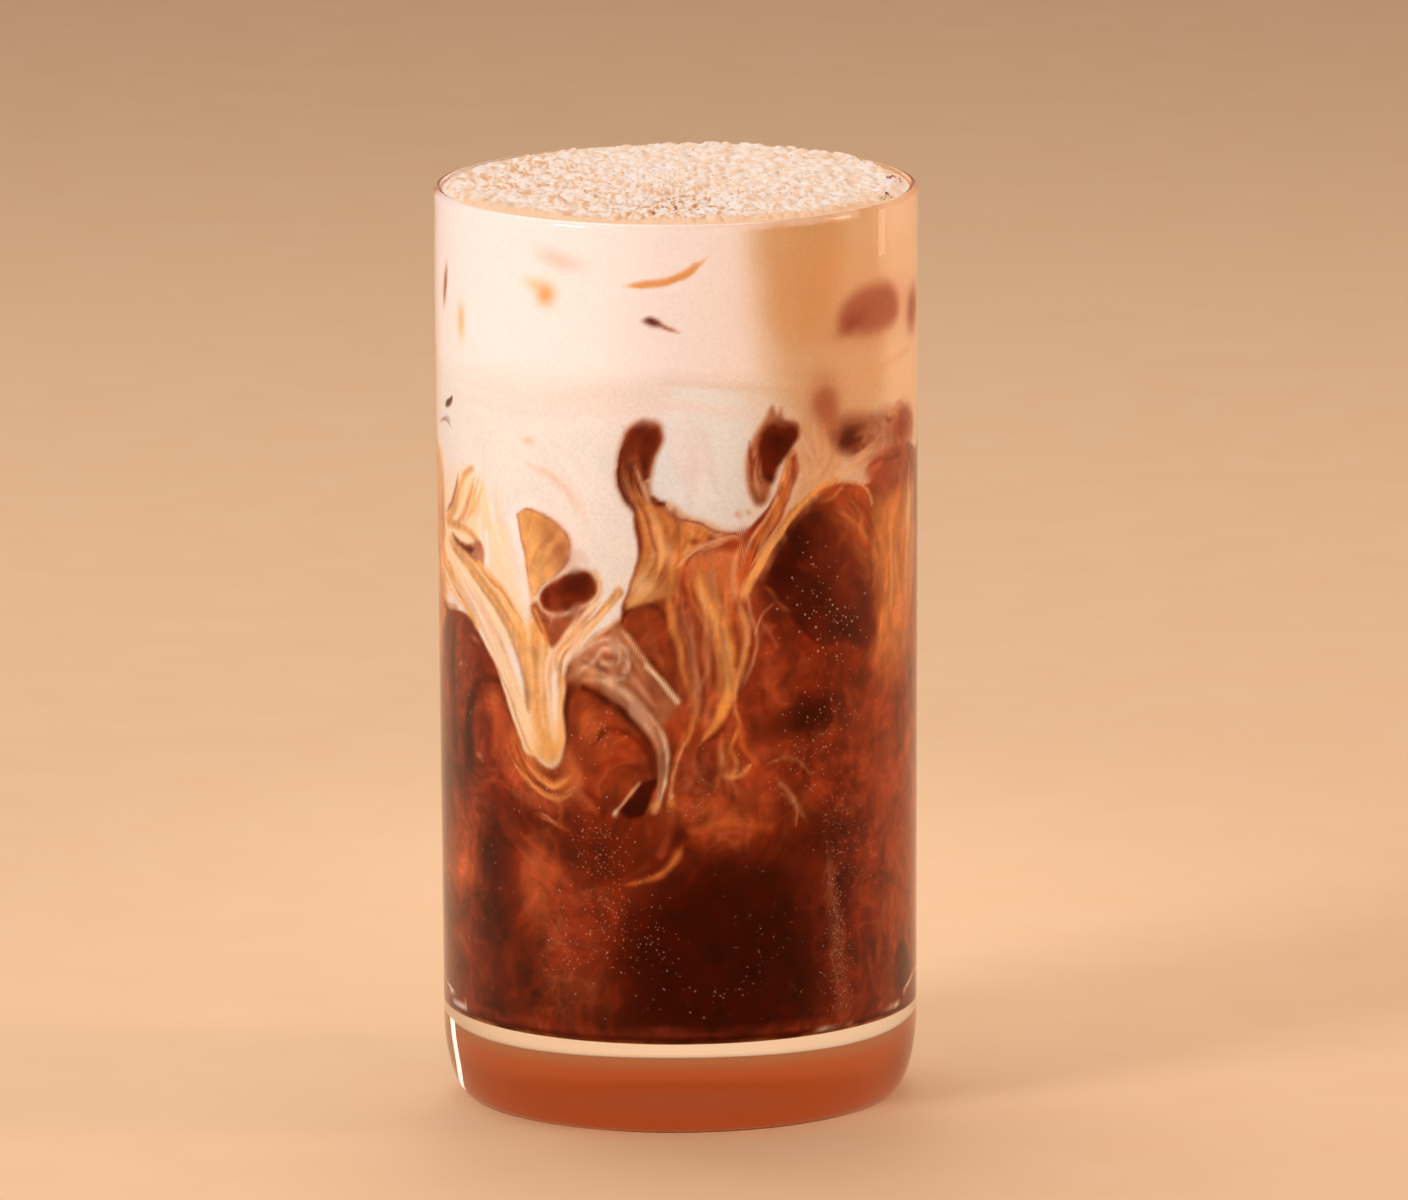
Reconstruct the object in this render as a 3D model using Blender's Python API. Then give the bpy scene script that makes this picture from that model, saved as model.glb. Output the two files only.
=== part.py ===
"""Iced latte in a straight highball glass: coffee, milk sinking into it and a full head of foam.

Metres, +Z up. The origin is the centre of the foot, on the surface that the glass stands on.
Angles go round the glass from its front (-Y), positive towards its right (+X).
"""

import math

import bmesh
import bpy
from mathutils import Vector, noise

MM = 0.001

# Glass, outside
RIM_Z = 141.0 * MM
RIM_RADIUS = 37.0 * MM
RIM_WALL = 1.6 * MM
WAIST_RADIUS = 36.3 * MM
HEEL_HEIGHT = 13.0 * MM
FOOT_RADIUS = 32.0 * MM

# Glass, inside
FLOOR_Z = 14.0 * MM
FLOOR_FILLET = 3.5 * MM
LOWER_WALL = 2.2 * MM

# Contents
GAP = 0.3 * MM
LAYER_GAP = 0.6 * MM
FOAM_FLOOR_Z = 117.0 * MM
FOAM_RIPPLE = 0.7 * MM
FOAM_EDGE_Z = RIM_Z - 0.5 * MM
FOAM_DOME = 0.9 * MM
FOAM_SHOULDER = 2.5 * MM
LUMP_SIZE = 3.6 * MM
LUMP_HEIGHT = 1.1 * MM
SWELL_ANGLE = 150.0
SWELL_SPREAD = 45.0
SWELL_HEIGHT = 0.5 * MM

# Lower edge of the milk round the front: angle in degrees, height in mm. Each low point is a sinking finger.
# The back half is the front's mirror image
MILK_EDGE = (
    (-90, 79), (-69, 76), (-59, 77), (-51, 71), (-44, 65), (-39, 59), (-33, 56), (-28, 61), (-24, 71),
    (-18, 75), (-14, 80), (-6, 87), (2, 94), (14, 94), (18, 86), (24, 91), (33, 97), (44, 100), (54, 98),
    (62, 101), (74, 102), (90, 84),
)
MILK_EDGE_MEAN = 84.0 * MM
FINGER_POWER = 1.5

GLASS_SEGMENTS = 64
DRINK_SEGMENTS = 80
FOAM_SEGMENTS = 100
DRINK_RINGS = 6
FOAM_TOP_RINGS = 15
FOAM_BASE_RINGS = 3
SIDE_ROWS = 3
HEEL_STEPS = 7
FILLET_STEPS = 4
RIM_STEPS = 6


def clear_scene():
    for obj in list(bpy.data.objects):
        bpy.data.objects.remove(obj, do_unlink=True)


def material(name, colour, roughness, transmission=0.0):
    mat = bpy.data.materials.new(name)
    mat.use_nodes = True
    shader = mat.node_tree.nodes["Principled BSDF"]
    shader.inputs["Base Color"].default_value = (*colour, 1.0)
    shader.inputs["Roughness"].default_value = roughness
    shader.inputs["Metallic"].default_value = 0.0
    shader.inputs["Transmission Weight"].default_value = transmission
    return mat


def finish(name, bm, mat, sharp_degrees=35):
    """Turns a bmesh into a smooth-shaded object with its faces pointing out."""
    bmesh.ops.recalc_face_normals(bm, faces=bm.faces)
    mesh = bpy.data.meshes.new(name)
    bm.to_mesh(mesh)
    bm.free()
    mesh.shade_smooth()
    mesh.set_sharp_from_angle(angle=math.radians(sharp_degrees))
    mesh.materials.append(mat)
    obj = bpy.data.objects.new(name, mesh)
    bpy.context.collection.objects.link(obj)
    return obj


def smooth(t):
    t = min(max(t, 0.0), 1.0)
    return t * t * (3 - 2 * t)


def outer_radius(z):
    """The wall leans out a little from the heel to the rim."""
    t = (z - HEEL_HEIGHT) / (RIM_Z - HEEL_HEIGHT)
    return WAIST_RADIUS + (RIM_RADIUS - WAIST_RADIUS) * t


def inner_radius(z):
    """The wall is thinner at the rim than above the base."""
    t = (z - HEEL_HEIGHT) / (RIM_Z - HEEL_HEIGHT)
    return outer_radius(z) - (LOWER_WALL + (RIM_WALL - LOWER_WALL) * t)


def arc(centre, across, up, start, end, steps):
    """Points (radius, height) of an elliptic arc, angles in degrees from the outward horizontal."""
    points = []
    for i in range(steps + 1):
        angle = math.radians(start + (end - start) * i / steps)
        points.append((centre[0] + across * math.cos(angle), centre[1] + up * math.sin(angle)))
    return points


def glass_profile():
    """Half section from the foot's centre round the outside, over the rim and down to the floor's centre."""
    heel = arc((FOOT_RADIUS, HEEL_HEIGHT), WAIST_RADIUS - FOOT_RADIUS, HEEL_HEIGHT, -90, 0, HEEL_STEPS)
    lip = RIM_WALL / 2
    rim = arc((RIM_RADIUS - lip, RIM_Z - lip), lip, lip, 0, 180, RIM_STEPS)
    fillet_z = FLOOR_Z + FLOOR_FILLET
    fillet_centre = (inner_radius(fillet_z) - FLOOR_FILLET, fillet_z)
    fillet = arc(fillet_centre, FLOOR_FILLET, FLOOR_FILLET, 0, -90, FILLET_STEPS)
    return [(0.0, 0.0), *heel, *rim, *fillet, (0.0, FLOOR_Z)]


def make_glass():
    bm = bmesh.new()
    verts = [bm.verts.new((radius, 0.0, z)) for radius, z in glass_profile()]
    edges = [bm.edges.new(pair) for pair in zip(verts, verts[1:])]
    bmesh.ops.spin(
        bm, geom=verts + edges, cent=(0, 0, 0), axis=(0, 0, 1), angle=math.tau, steps=GLASS_SEGMENTS
    )
    bmesh.ops.remove_doubles(bm, verts=bm.verts, dist=0.01 * MM)
    return finish("glass", bm, material("clear_glass", (0.95, 0.97, 0.97), 0.02, 1.0))


def around(angle, radius, z):
    """A point at an angle in degrees from the front, towards the right."""
    turn = math.radians(angle)
    return Vector((radius * math.sin(turn), -radius * math.cos(turn), z))


def milk_edge(angle):
    """Height of the milk's lower edge at the wall, eased from each low or high point to the next."""
    angle = (angle + 90) % 360 - 90
    angle = min(angle, 180 - angle)
    for (a, low), (b, high) in zip(MILK_EDGE, MILK_EDGE[1:]):
        if a <= angle <= b:
            return (low + (high - low) * smooth((angle - a) / (b - a))) * MM
    raise ValueError("MILK_EDGE runs from the left side to the right side")


def milk_floor(angle, reach):
    """The milk's underside, for a reach of 0 at the axis to 1 at the wall, where its fingers hang lowest."""
    return MILK_EDGE_MEAN + (milk_edge(angle) - MILK_EDGE_MEAN) * reach**FINGER_POWER


def foam_floor(angle, reach):
    """The foam's underside, nearly level."""
    turn = math.radians(angle)
    return FOAM_FLOOR_Z + FOAM_RIPPLE * reach * (math.sin(2 * turn) + 0.5 * math.cos(3 * turn))


def foam_top(angle, reach):
    """A low dome of bubbly lumps, level with the rim and proud of it at the back right."""
    radius = inner_radius(RIM_Z) * reach
    inset = inner_radius(RIM_Z) - radius
    shoulder = smooth(inset / FOAM_SHOULDER)
    lumps = noise.noise(around(angle, radius, 0) / LUMP_SIZE)
    off = (angle - SWELL_ANGLE + 180) % 360 - 180
    swell = SWELL_HEIGHT * math.exp(-((off / SWELL_SPREAD) ** 2)) * smooth(2 * reach - 1)
    return FOAM_EDGE_Z + shoulder * (FOAM_DOME + swell + LUMP_HEIGHT * lumps)


def coffee_floor_rings():
    """Rings (radius, height) along the glass's floor and its fillet, a gap clear of both."""
    fillet_z = FLOOR_Z + FLOOR_FILLET
    fillet_centre = (inner_radius(fillet_z) - FLOOR_FILLET, fillet_z)
    bend = FLOOR_FILLET - GAP
    fillet = arc(fillet_centre, bend, bend, -90, 0, FILLET_STEPS)
    return [(fillet_centre[0] / 2, FLOOR_Z + GAP), *fillet]


def layer(name, segments, base, base_rings, top, top_rings, mat):
    """A layer of the drink out to the wall, between two surfaces given by angle and reach."""
    bm = bmesh.new()
    rings = []

    def add_ring(height, radius):
        ring = []
        for i in range(segments):
            angle = 360 * i / segments
            z = height(angle)
            ring.append(bm.verts.new(around(angle, radius(z), z)))
        rings.append(ring)

    for reach in base_rings:
        add_ring(lambda angle, r=reach: base(angle, r), lambda z, r=reach: (inner_radius(z) - GAP) * r)
    for i in range(1, SIDE_ROWS):
        t = i / SIDE_ROWS
        add_ring(
            lambda angle, t=t: base(angle, 1) * (1 - t) + top(angle, 1) * t,
            lambda z: inner_radius(z) - GAP,
        )
    for reach in top_rings:
        add_ring(lambda angle, r=reach: top(angle, r), lambda z, r=reach: (inner_radius(z) - GAP) * r)
    join_rings(bm, rings, base(0, 0), top(0, 0))
    return finish(name, bm, mat)


def join_rings(bm, rings, base_z, top_z):
    """Closes a stack of rings into one body, with a fan of triangles at each end."""
    count = len(rings[0])
    for lower, upper in zip(rings, rings[1:]):
        for i in range(count):
            j = (i + 1) % count
            bm.faces.new((lower[i], lower[j], upper[j]))
            bm.faces.new((lower[i], upper[j], upper[i]))
    for ring, z in ((rings[0], base_z), (rings[-1], top_z)):
        centre = bm.verts.new((0, 0, z))
        for i in range(count):
            bm.faces.new((ring[i], ring[(i + 1) % count], centre))


def outward(rings):
    return [i / rings for i in range(1, rings + 1)]


def inward(rings):
    return [i / rings for i in range(rings, 0, -1)]


def make_coffee():
    """Black coffee from the glass's floor up to the milk, whose fingers it is shaped round."""
    bm = bmesh.new()
    rings = []
    angles = [360 * i / DRINK_SEGMENTS for i in range(DRINK_SEGMENTS)]
    for radius, z in coffee_floor_rings():
        rings.append([bm.verts.new(around(angle, radius, z)) for angle in angles])
    for reach in inward(DRINK_RINGS):
        ring = []
        for angle in angles:
            z = milk_floor(angle, reach) - LAYER_GAP
            ring.append(bm.verts.new(around(angle, (inner_radius(z) - GAP) * reach, z)))
        rings.append(ring)
    join_rings(bm, rings, FLOOR_Z + GAP, milk_floor(0, 0) - LAYER_GAP)
    return finish("coffee", bm, material("black_coffee", (0.045, 0.009, 0.004), 0.15))


def make_milk():
    """Milk under the foam, sinking into the coffee in uneven fingers."""

    def top(angle, reach):
        return foam_floor(angle, reach) - GAP

    mat = material("milk", (0.80, 0.62, 0.48), 0.25)
    return layer("milk", DRINK_SEGMENTS, milk_floor, outward(DRINK_RINGS), top, inward(2), mat)


def make_foam():
    """The head of foam, up to the brim."""
    mat = material("milk_foam", (0.86, 0.72, 0.58), 0.45)
    base = outward(FOAM_BASE_RINGS)
    return layer("foam", FOAM_SEGMENTS, foam_floor, base, foam_top, inward(FOAM_TOP_RINGS), mat)


def main():
    clear_scene()
    make_glass()
    make_coffee()
    make_milk()
    make_foam()


main()
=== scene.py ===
"""Iced latte in a clear highball glass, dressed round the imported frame.

Metres, +Z up. The drink's side is drawn on the unrolled wall: s is the arc length in millimetres from the
front, positive to the right, and z is the height in millimetres.
"""

import math

import bpy
import numpy as np
from mathutils import Euler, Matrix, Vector


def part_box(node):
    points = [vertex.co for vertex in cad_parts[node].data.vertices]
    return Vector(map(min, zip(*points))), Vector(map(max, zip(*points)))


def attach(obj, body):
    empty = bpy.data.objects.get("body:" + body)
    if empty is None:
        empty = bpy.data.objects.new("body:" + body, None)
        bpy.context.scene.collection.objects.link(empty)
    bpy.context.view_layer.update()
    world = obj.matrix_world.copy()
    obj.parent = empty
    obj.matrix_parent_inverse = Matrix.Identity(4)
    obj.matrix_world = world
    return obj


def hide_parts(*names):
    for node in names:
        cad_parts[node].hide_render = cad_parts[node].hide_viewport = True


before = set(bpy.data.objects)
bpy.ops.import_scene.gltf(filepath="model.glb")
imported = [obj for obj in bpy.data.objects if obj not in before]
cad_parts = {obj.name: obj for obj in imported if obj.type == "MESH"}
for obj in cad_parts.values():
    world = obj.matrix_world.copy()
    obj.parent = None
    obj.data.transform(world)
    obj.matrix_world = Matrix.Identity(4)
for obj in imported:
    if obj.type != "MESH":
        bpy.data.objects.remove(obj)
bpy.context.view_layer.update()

MM = 0.001
RNG = np.random.default_rng(7)

# Glass, from the frame's own box
GLASS_LOW, GLASS_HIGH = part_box("glass")
RIM_Z = GLASS_HIGH[2] / MM
RIM_RADIUS = GLASS_HIGH[0] / MM
WAIST_RADIUS = RIM_RADIUS - 0.7
FOOT_RADIUS = RIM_RADIUS - 5.0
HEEL_HEIGHT = 13.0
FLOOR_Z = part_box("coffee")[0][2] / MM - 0.3
FLOOR_FILLET = 3.5
RIM_WALL = 1.6
LOWER_WALL = 2.2

# Drink
REACH = 0.12
FOAM_FLOOR_Z = 117.0
FOAM_EDGE_Z = RIM_Z - 0.5
FOAM_TOP_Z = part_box("foam")[1][2] / MM
FORESHORTEN = 0.4
ICE_PROUD = 0.05
UNROLL_RADIUS = 35.0
HALF_TURN = math.pi * UNROLL_RADIUS
QUARTER_TURN = HALF_TURN / 2
SHARP_DEGREES = 62
FRONT_STEP = 0.29
BACK_STEP = 0.50

# Palette of the drink, sRGB
BLACK = "#2E0400"
DARK = "#521705"
BROWN = "#76260C"
BRICK = "#883218"
RUST = "#AA4E2A"
GLOW = "#CA6A30"
AMBER = "#E29A50"
HONEY = "#F2BA72"
TAN = "#E2B48A"
GOLD = "#F5CB9E"
DUSTY = "#A8643F"
ROSE = "#E4C0AC"
LILAC = "#ECE8EA"
MILK = "#EEEBE2"
CREAM = "#F8E2BA"
WHITE = "#FBF4F1"


def srgb(colour):
    """Hex to three sRGB values from 0 to 1."""
    return np.array([int(colour[i : i + 2], 16) / 255 for i in (1, 3, 5)])


def linear(values):
    """sRGB to linear light."""
    values = np.asarray(values, float)
    return np.where(values <= 0.04045, values / 12.92, ((values + 0.055) / 1.055) ** 2.4)


def hex_linear(colour):
    return (*linear(srgb(colour)), 1.0)


def ease(t):
    t = np.clip(t, 0.0, 1.0)
    return t * t * (3 - 2 * t)


def lattice(cells, seed):
    """A fixed pseudo-random value from 0 to 1 for each whole-number cell."""
    h = cells[..., 0] * 374761393 + cells[..., 1] * 668265263 + cells[..., 2] * 2147483647 + seed * 974711
    h = (h ^ (h >> 13)) * 1274126177
    return ((h ^ (h >> 16)) & 0xFFFF) / 65535.0


def noise(points, scale, seed=0):
    """Smooth value noise from -1 to 1 over points (..., 3), with features about scale wide."""
    p = np.asarray(points, float) / scale + 1000.0
    cell = np.floor(p).astype(np.int64)
    f = ease(p - cell)
    total = np.zeros(p.shape[:-1])
    for dx in (0, 1):
        for dy in (0, 1):
            for dz in (0, 1):
                corner = lattice(cell + np.array([dx, dy, dz]), seed)
                weight = (
                    (f[..., 0] if dx else 1 - f[..., 0])
                    * (f[..., 1] if dy else 1 - f[..., 1])
                    * (f[..., 2] if dz else 1 - f[..., 2])
                )
                total += corner * weight
    return total * 2 - 1


def fractal(points, scale, seed=0, octaves=3):
    total = sum(noise(points, scale / 2**i, seed + 17 * i) / 2**i for i in range(octaves))
    return total / (2 - 2 ** (1 - octaves))


def outer_radius(z):
    t = (z - HEEL_HEIGHT) / (RIM_Z - HEEL_HEIGHT)
    return WAIST_RADIUS + (RIM_RADIUS - WAIST_RADIUS) * t


def inner_radius(z):
    t = (z - HEEL_HEIGHT) / (RIM_Z - HEEL_HEIGHT)
    return outer_radius(z) - (LOWER_WALL + (RIM_WALL - LOWER_WALL) * t)


def on_wall(s, z, radius):
    """Points in millimetres at arc length s, height z and a radius."""
    turn = s / UNROLL_RADIUS
    return np.stack([radius * np.sin(turn), -radius * np.cos(turn), z + 0 * s], axis=-1)


def smooth_curve(points, closed=False, step=0.7):
    """A Catmull-Rom curve through the points, as short straight pieces."""
    points = np.asarray(points, float)
    count = len(points)
    pieces = []
    for i in range(count if closed else count - 1):
        if closed:
            a, b, c, d = (points[(i + k) % count] for k in (-1, 0, 1, 2))
        else:
            b, c = points[i], points[i + 1]
            a = points[i - 1] if i else 2 * b - c
            d = points[i + 2] if i + 2 < count else 2 * c - b
        steps = max(2, int(np.hypot(*(c - b)) / step))
        t = np.arange(steps)[:, None] / steps
        pieces.append(
            0.5 * (2 * b + (c - a) * t + (2 * a - 5 * b + 4 * c - d) * t**2 + (3 * b - a - 3 * c + d) * t**3)
        )
    pieces.append(points[:1] if closed else points[-1:])
    return np.concatenate(pieces)


def nearest_on(curve, at):
    """For each point: distance to the curve, signed across distance, and share of the way along."""
    a, b = curve[:-1], curve[1:]
    lengths = np.hypot(*(b - a).T)
    along0 = np.concatenate([[0], np.cumsum(lengths)])
    best = np.full(len(at), 1e9)
    across = np.zeros(len(at))
    along = np.zeros(len(at))
    for start, end, length, run in zip(a, b, lengths, along0):
        if length == 0:
            continue
        way = (end - start) / length
        rel = at - start
        t = np.clip(rel @ way, 0, length)
        off = rel - t[:, None] * way
        d = np.hypot(off[:, 0], off[:, 1])
        near = d < best
        best = np.where(near, d, best)
        across = np.where(near, way[0] * rel[:, 1] - way[1] * rel[:, 0], across)
        along = np.where(near, run + t, along)
    return best, across, along / max(along0[-1], 1e-6)


def inside(curve, at):
    """True where a point lies inside a closed curve."""
    odd = np.zeros(len(at), bool)
    for (x0, y0), (x1, y1) in zip(curve[:-1], curve[1:]):
        if y0 == y1:
            continue
        crosses = (y0 > at[:, 1]) != (y1 > at[:, 1])
        odd ^= crosses & (at[:, 0] < (x1 - x0) * (at[:, 1] - y0) / (y1 - y0) + x0)
    return odd


class Wall:
    """Colour of the drink where it meets the glass, laid down stroke by stroke on unrolled points (s, z)."""

    def __init__(self, s, z):
        self.at = np.stack([s, z], axis=-1)
        self.rgb = np.tile(srgb(BROWN), (len(s), 1))

    def near(self, points, margin):
        points = np.asarray(points, float)
        low, high = points.min(axis=0) - margin, points.max(axis=0) + margin
        return np.nonzero(((self.at > low) & (self.at < high)).all(axis=1))[0]

    def lay(self, which, colour, amount):
        amount = np.clip(amount, 0, 1)[:, None]
        self.rgb[which] = self.rgb[which] * (1 - amount) + srgb(colour) * amount

    def line(self, colour, width, points, soft=0.35, strength=1.0, strands=0.0, taper=0.0):
        """A stroke along a smooth curve. width may be (start, end); taper thins both ends."""
        start, end = width if isinstance(width, tuple) else (width, width)
        which = self.near(points, max(start, end) + 2 * soft)
        if not len(which):
            return
        at = self.at[which]
        distance, across, along = nearest_on(smooth_curve(points), at)
        half = (start + (end - start) * along) / 2
        if taper:
            half = half * ease(np.minimum(along, 1 - along) / taper)
        amount = strength * ease((half - distance) / soft + 0.5)
        if strands:
            where = np.stack([across / 0.55, along * 6, np.full(len(at), width_seed(points))], axis=-1)
            amount = amount * (1 - strands * ease(noise(where, 1.0, 3) + 0.5))
        self.lay(which, colour, amount)

    def sheaf(self, colours, width, points, count=5, thin=0.3, soft=0.55, strength=0.6):
        """Thin threads that run alongside a curve within a width, each drifting across it on its way."""
        curve = smooth_curve(points)
        way = np.gradient(curve, axis=0)
        way /= np.maximum(np.hypot(*way.T), 1e-6)[:, None]
        side = np.stack([-way[:, 1], way[:, 0]], axis=-1)
        start, end = width if isinstance(width, tuple) else (width, width)
        share = np.linspace(0, 1, len(curve))
        spread = (start + (end - start) * share) / 2
        steady = np.random.default_rng(int(abs(width_seed(points)) * 100))
        for k in range(count):
            a, b, c = steady.uniform(-1, 1, 3)
            drift = (a * (1 - share) + b * share + 0.35 * c * np.sin(share * 5 + 6 * c)) * spread
            low = int(steady.uniform(0, 0.3) * len(curve))
            high = int(steady.uniform(0.7, 1.0) * len(curve))
            thread = (curve + side * drift[:, None])[low : max(high, low + 3) : 3]
            if len(thread) > 1:
                self.line(
                    colours[k % len(colours)], thin * steady.uniform(1.0, 2.2), thread, soft=soft * steady.uniform(0.8, 1.5),
                    strength=strength * steady.uniform(0.5, 1.05), taper=0.3,
                )

    def curls(self, colours, s, z, across, up, count, size=2.4, thin=0.3, strength=0.4):
        """Small open curls strewn over an ellipse, as milk makes where it folds into coffee."""
        steady = np.random.default_rng(int(abs(s * 31 + z * 17) * 10) + count)
        for k in range(count):
            r, turn = math.sqrt(steady.uniform(0, 1)), steady.uniform(0, math.tau)
            x, y = s + across * r * math.cos(turn), z + up * r * math.sin(turn)
            start, sweep = steady.uniform(0, math.tau), steady.choice((-1, 1)) * steady.uniform(1.6, 3.8)
            radius, flat, lean = size * steady.uniform(0.5, 1.7), steady.uniform(0.4, 0.9), steady.uniform(-0.8, 0.8)
            points = []
            for i in range(6):
                a, b = start + sweep * i / 5, radius * (1 - 0.1 * i)
                u, v = b * math.cos(a), b * flat * math.sin(a)
                points.append((x + u * math.cos(lean) - v * math.sin(lean), y + u * math.sin(lean) + v * math.cos(lean)))
            self.line(
                colours[k % len(colours)], thin * steady.uniform(1.0, 3.4), points, soft=steady.uniform(0.6, 1.6),
                strength=strength * steady.uniform(0.5, 1.1), taper=0.35,
            )

    def blot(self, colour, points, soft=0.4, strength=1.0, grow=0.0):
        """A filled shape inside a smooth closed curve."""
        which = self.near(points, 2 * soft + grow + 1)
        if not len(which):
            return
        at = self.at[which]
        curve = smooth_curve(points, closed=True)
        distance = nearest_on(curve, at)[0] * np.where(inside(curve, at), 1, -1)
        self.lay(which, colour, strength * ease((distance + grow) / soft + 0.5))

    def spot(self, colour, s, z, across, up, tilt=0.0, strength=1.0, edge=1.0):
        """A soft ellipse, with half sizes in mm and a tilt in degrees. A high edge makes it crisp."""
        which = self.near([(s, z)], 2.2 * max(across, up) + 0.5)
        turn = math.radians(tilt)
        x = self.at[which, 0] - s
        y = self.at[which, 1] - z
        u = (x * math.cos(turn) + y * math.sin(turn)) / across
        v = (-x * math.sin(turn) + y * math.cos(turn)) / up
        self.lay(which, colour, strength * np.exp(-((u * u + v * v) ** edge)))


def width_seed(points):
    """A steady number from a stroke's first point, so that each stroke has its own strands."""
    return (points[0][0] * 7.31 + points[0][1] * 3.17) % 97


MILK_MASS = (
    (-62, 145), (-62, 79), (-56, 79), (-50, 79), (-46, 77.3), (-42, 77.6), (-38, 77.4), (-35, 75),
    (-32, 71.6), (-29.8, 69.4), (-27.8, 66.3), (-26.3, 63), (-25.1, 60), (-23.3, 57.6), (-21, 56.3),
    (-19, 57.1), (-17.9, 60), (-17.5, 64), (-17.3, 68), (-17.3, 71), (-15.5, 74.5), (-13, 77.3),
    (-10, 79.2), (-8.4, 80.2), (-8.3, 82.5), (-7, 86), (-5.8, 90), (-6.3, 94), (-6, 98), (-3.5, 99.5),
    (-2.2, 98.2), (0, 96.2), (3, 95.3), (5, 94), (8, 93.2), (11, 94.3), (13, 96), (14.5, 92),
    (12.2, 87.6), (10.5, 84.6), (13.5, 88.3), (17, 92.6), (20.5, 96.4), (25, 99.2), (29, 99),
    (33, 98.4), (38, 101.5), (44, 103), (50, 101), (56, 99), (62, 99), (62, 145),
)
AMBER_ISLAND = (
    (-26.0, 94.9), (-24.3, 96), (-21.6, 95.6), (-18.4, 94), (-17.0, 91.8), (-17.2, 88.8), (-19, 86.3),
    (-21.4, 84.5), (-23.2, 82.6), (-24, 84.6), (-24.6, 88.7), (-25.4, 92.1),
)
DARK_ISLAND = (
    (-21.9, 81.9), (-20.6, 84), (-18.4, 85.4), (-15.4, 86.7), (-13.4, 86.3), (-12.9, 84.6), (-14.6, 82.4),
    (-17.6, 81), (-20.2, 80.7),
)
POCKET_A = (
    (-4.6, 111.1), (-2.7, 110.4), (-2.2, 108.3), (-3.3, 105.6), (-3.9, 103.2), (-4.4, 100.8), (-3.5, 97),
    (-3.0, 93.5), (-3.3, 90.4), (-4.4, 93), (-5.6, 96), (-7.5, 98.6), (-8.8, 101.4), (-9.0, 104),
    (-8.2, 107.3), (-6.8, 110),
)
POCKET_B = (
    (13.5, 111), (14.4, 112.3), (15.2, 110.8), (16, 111.8), (16.6, 110), (18, 110), (19.4, 108.3),
    (18.6, 106.9), (17.5, 106), (16.8, 104.4), (15.6, 103.3), (14.8, 101.3), (14, 98.6), (12.5, 97.5),
    (11.3, 98.6), (10.7, 101), (10.5, 104), (11.2, 107.2), (12.5, 109.5),
)
BIG_ICE = (
    (18.1, 94.7), (16.2, 92.2), (14.5, 90.1), (13.3, 87.9), (12.5, 85.8), (13.1, 85), (14.2, 83.8), (15.2, 82.2),
    (16.6, 80.9), (18.1, 79.7), (19.6, 78.1), (20.7, 76.5), (22.2, 75.4), (25, 74.6), (28.6, 74.1), (31.9, 72.9),
    (34, 74.1), (34.8, 76.7), (34.5, 79), (33.7, 81.9), (32.3, 84.8), (29.8, 88.3), (27.3, 91), (25.4, 93.4),
    (23.6, 95.6), (21, 96.6),
)
SMALL_ICE = (
    (-3.3, 55.6), (-5.2, 55.2), (-7.4, 52.6), (-8.9, 50.6), (-7.6, 49.5), (-5.5, 50), (-4.4, 52.6),
)
SIDE_ICE = (
    (40.5, 18.6), (41, 23), (42.8, 25.2), (45.2, 25.4), (47.4, 22.6), (48.6, 19.6), (46, 18),
)


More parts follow.
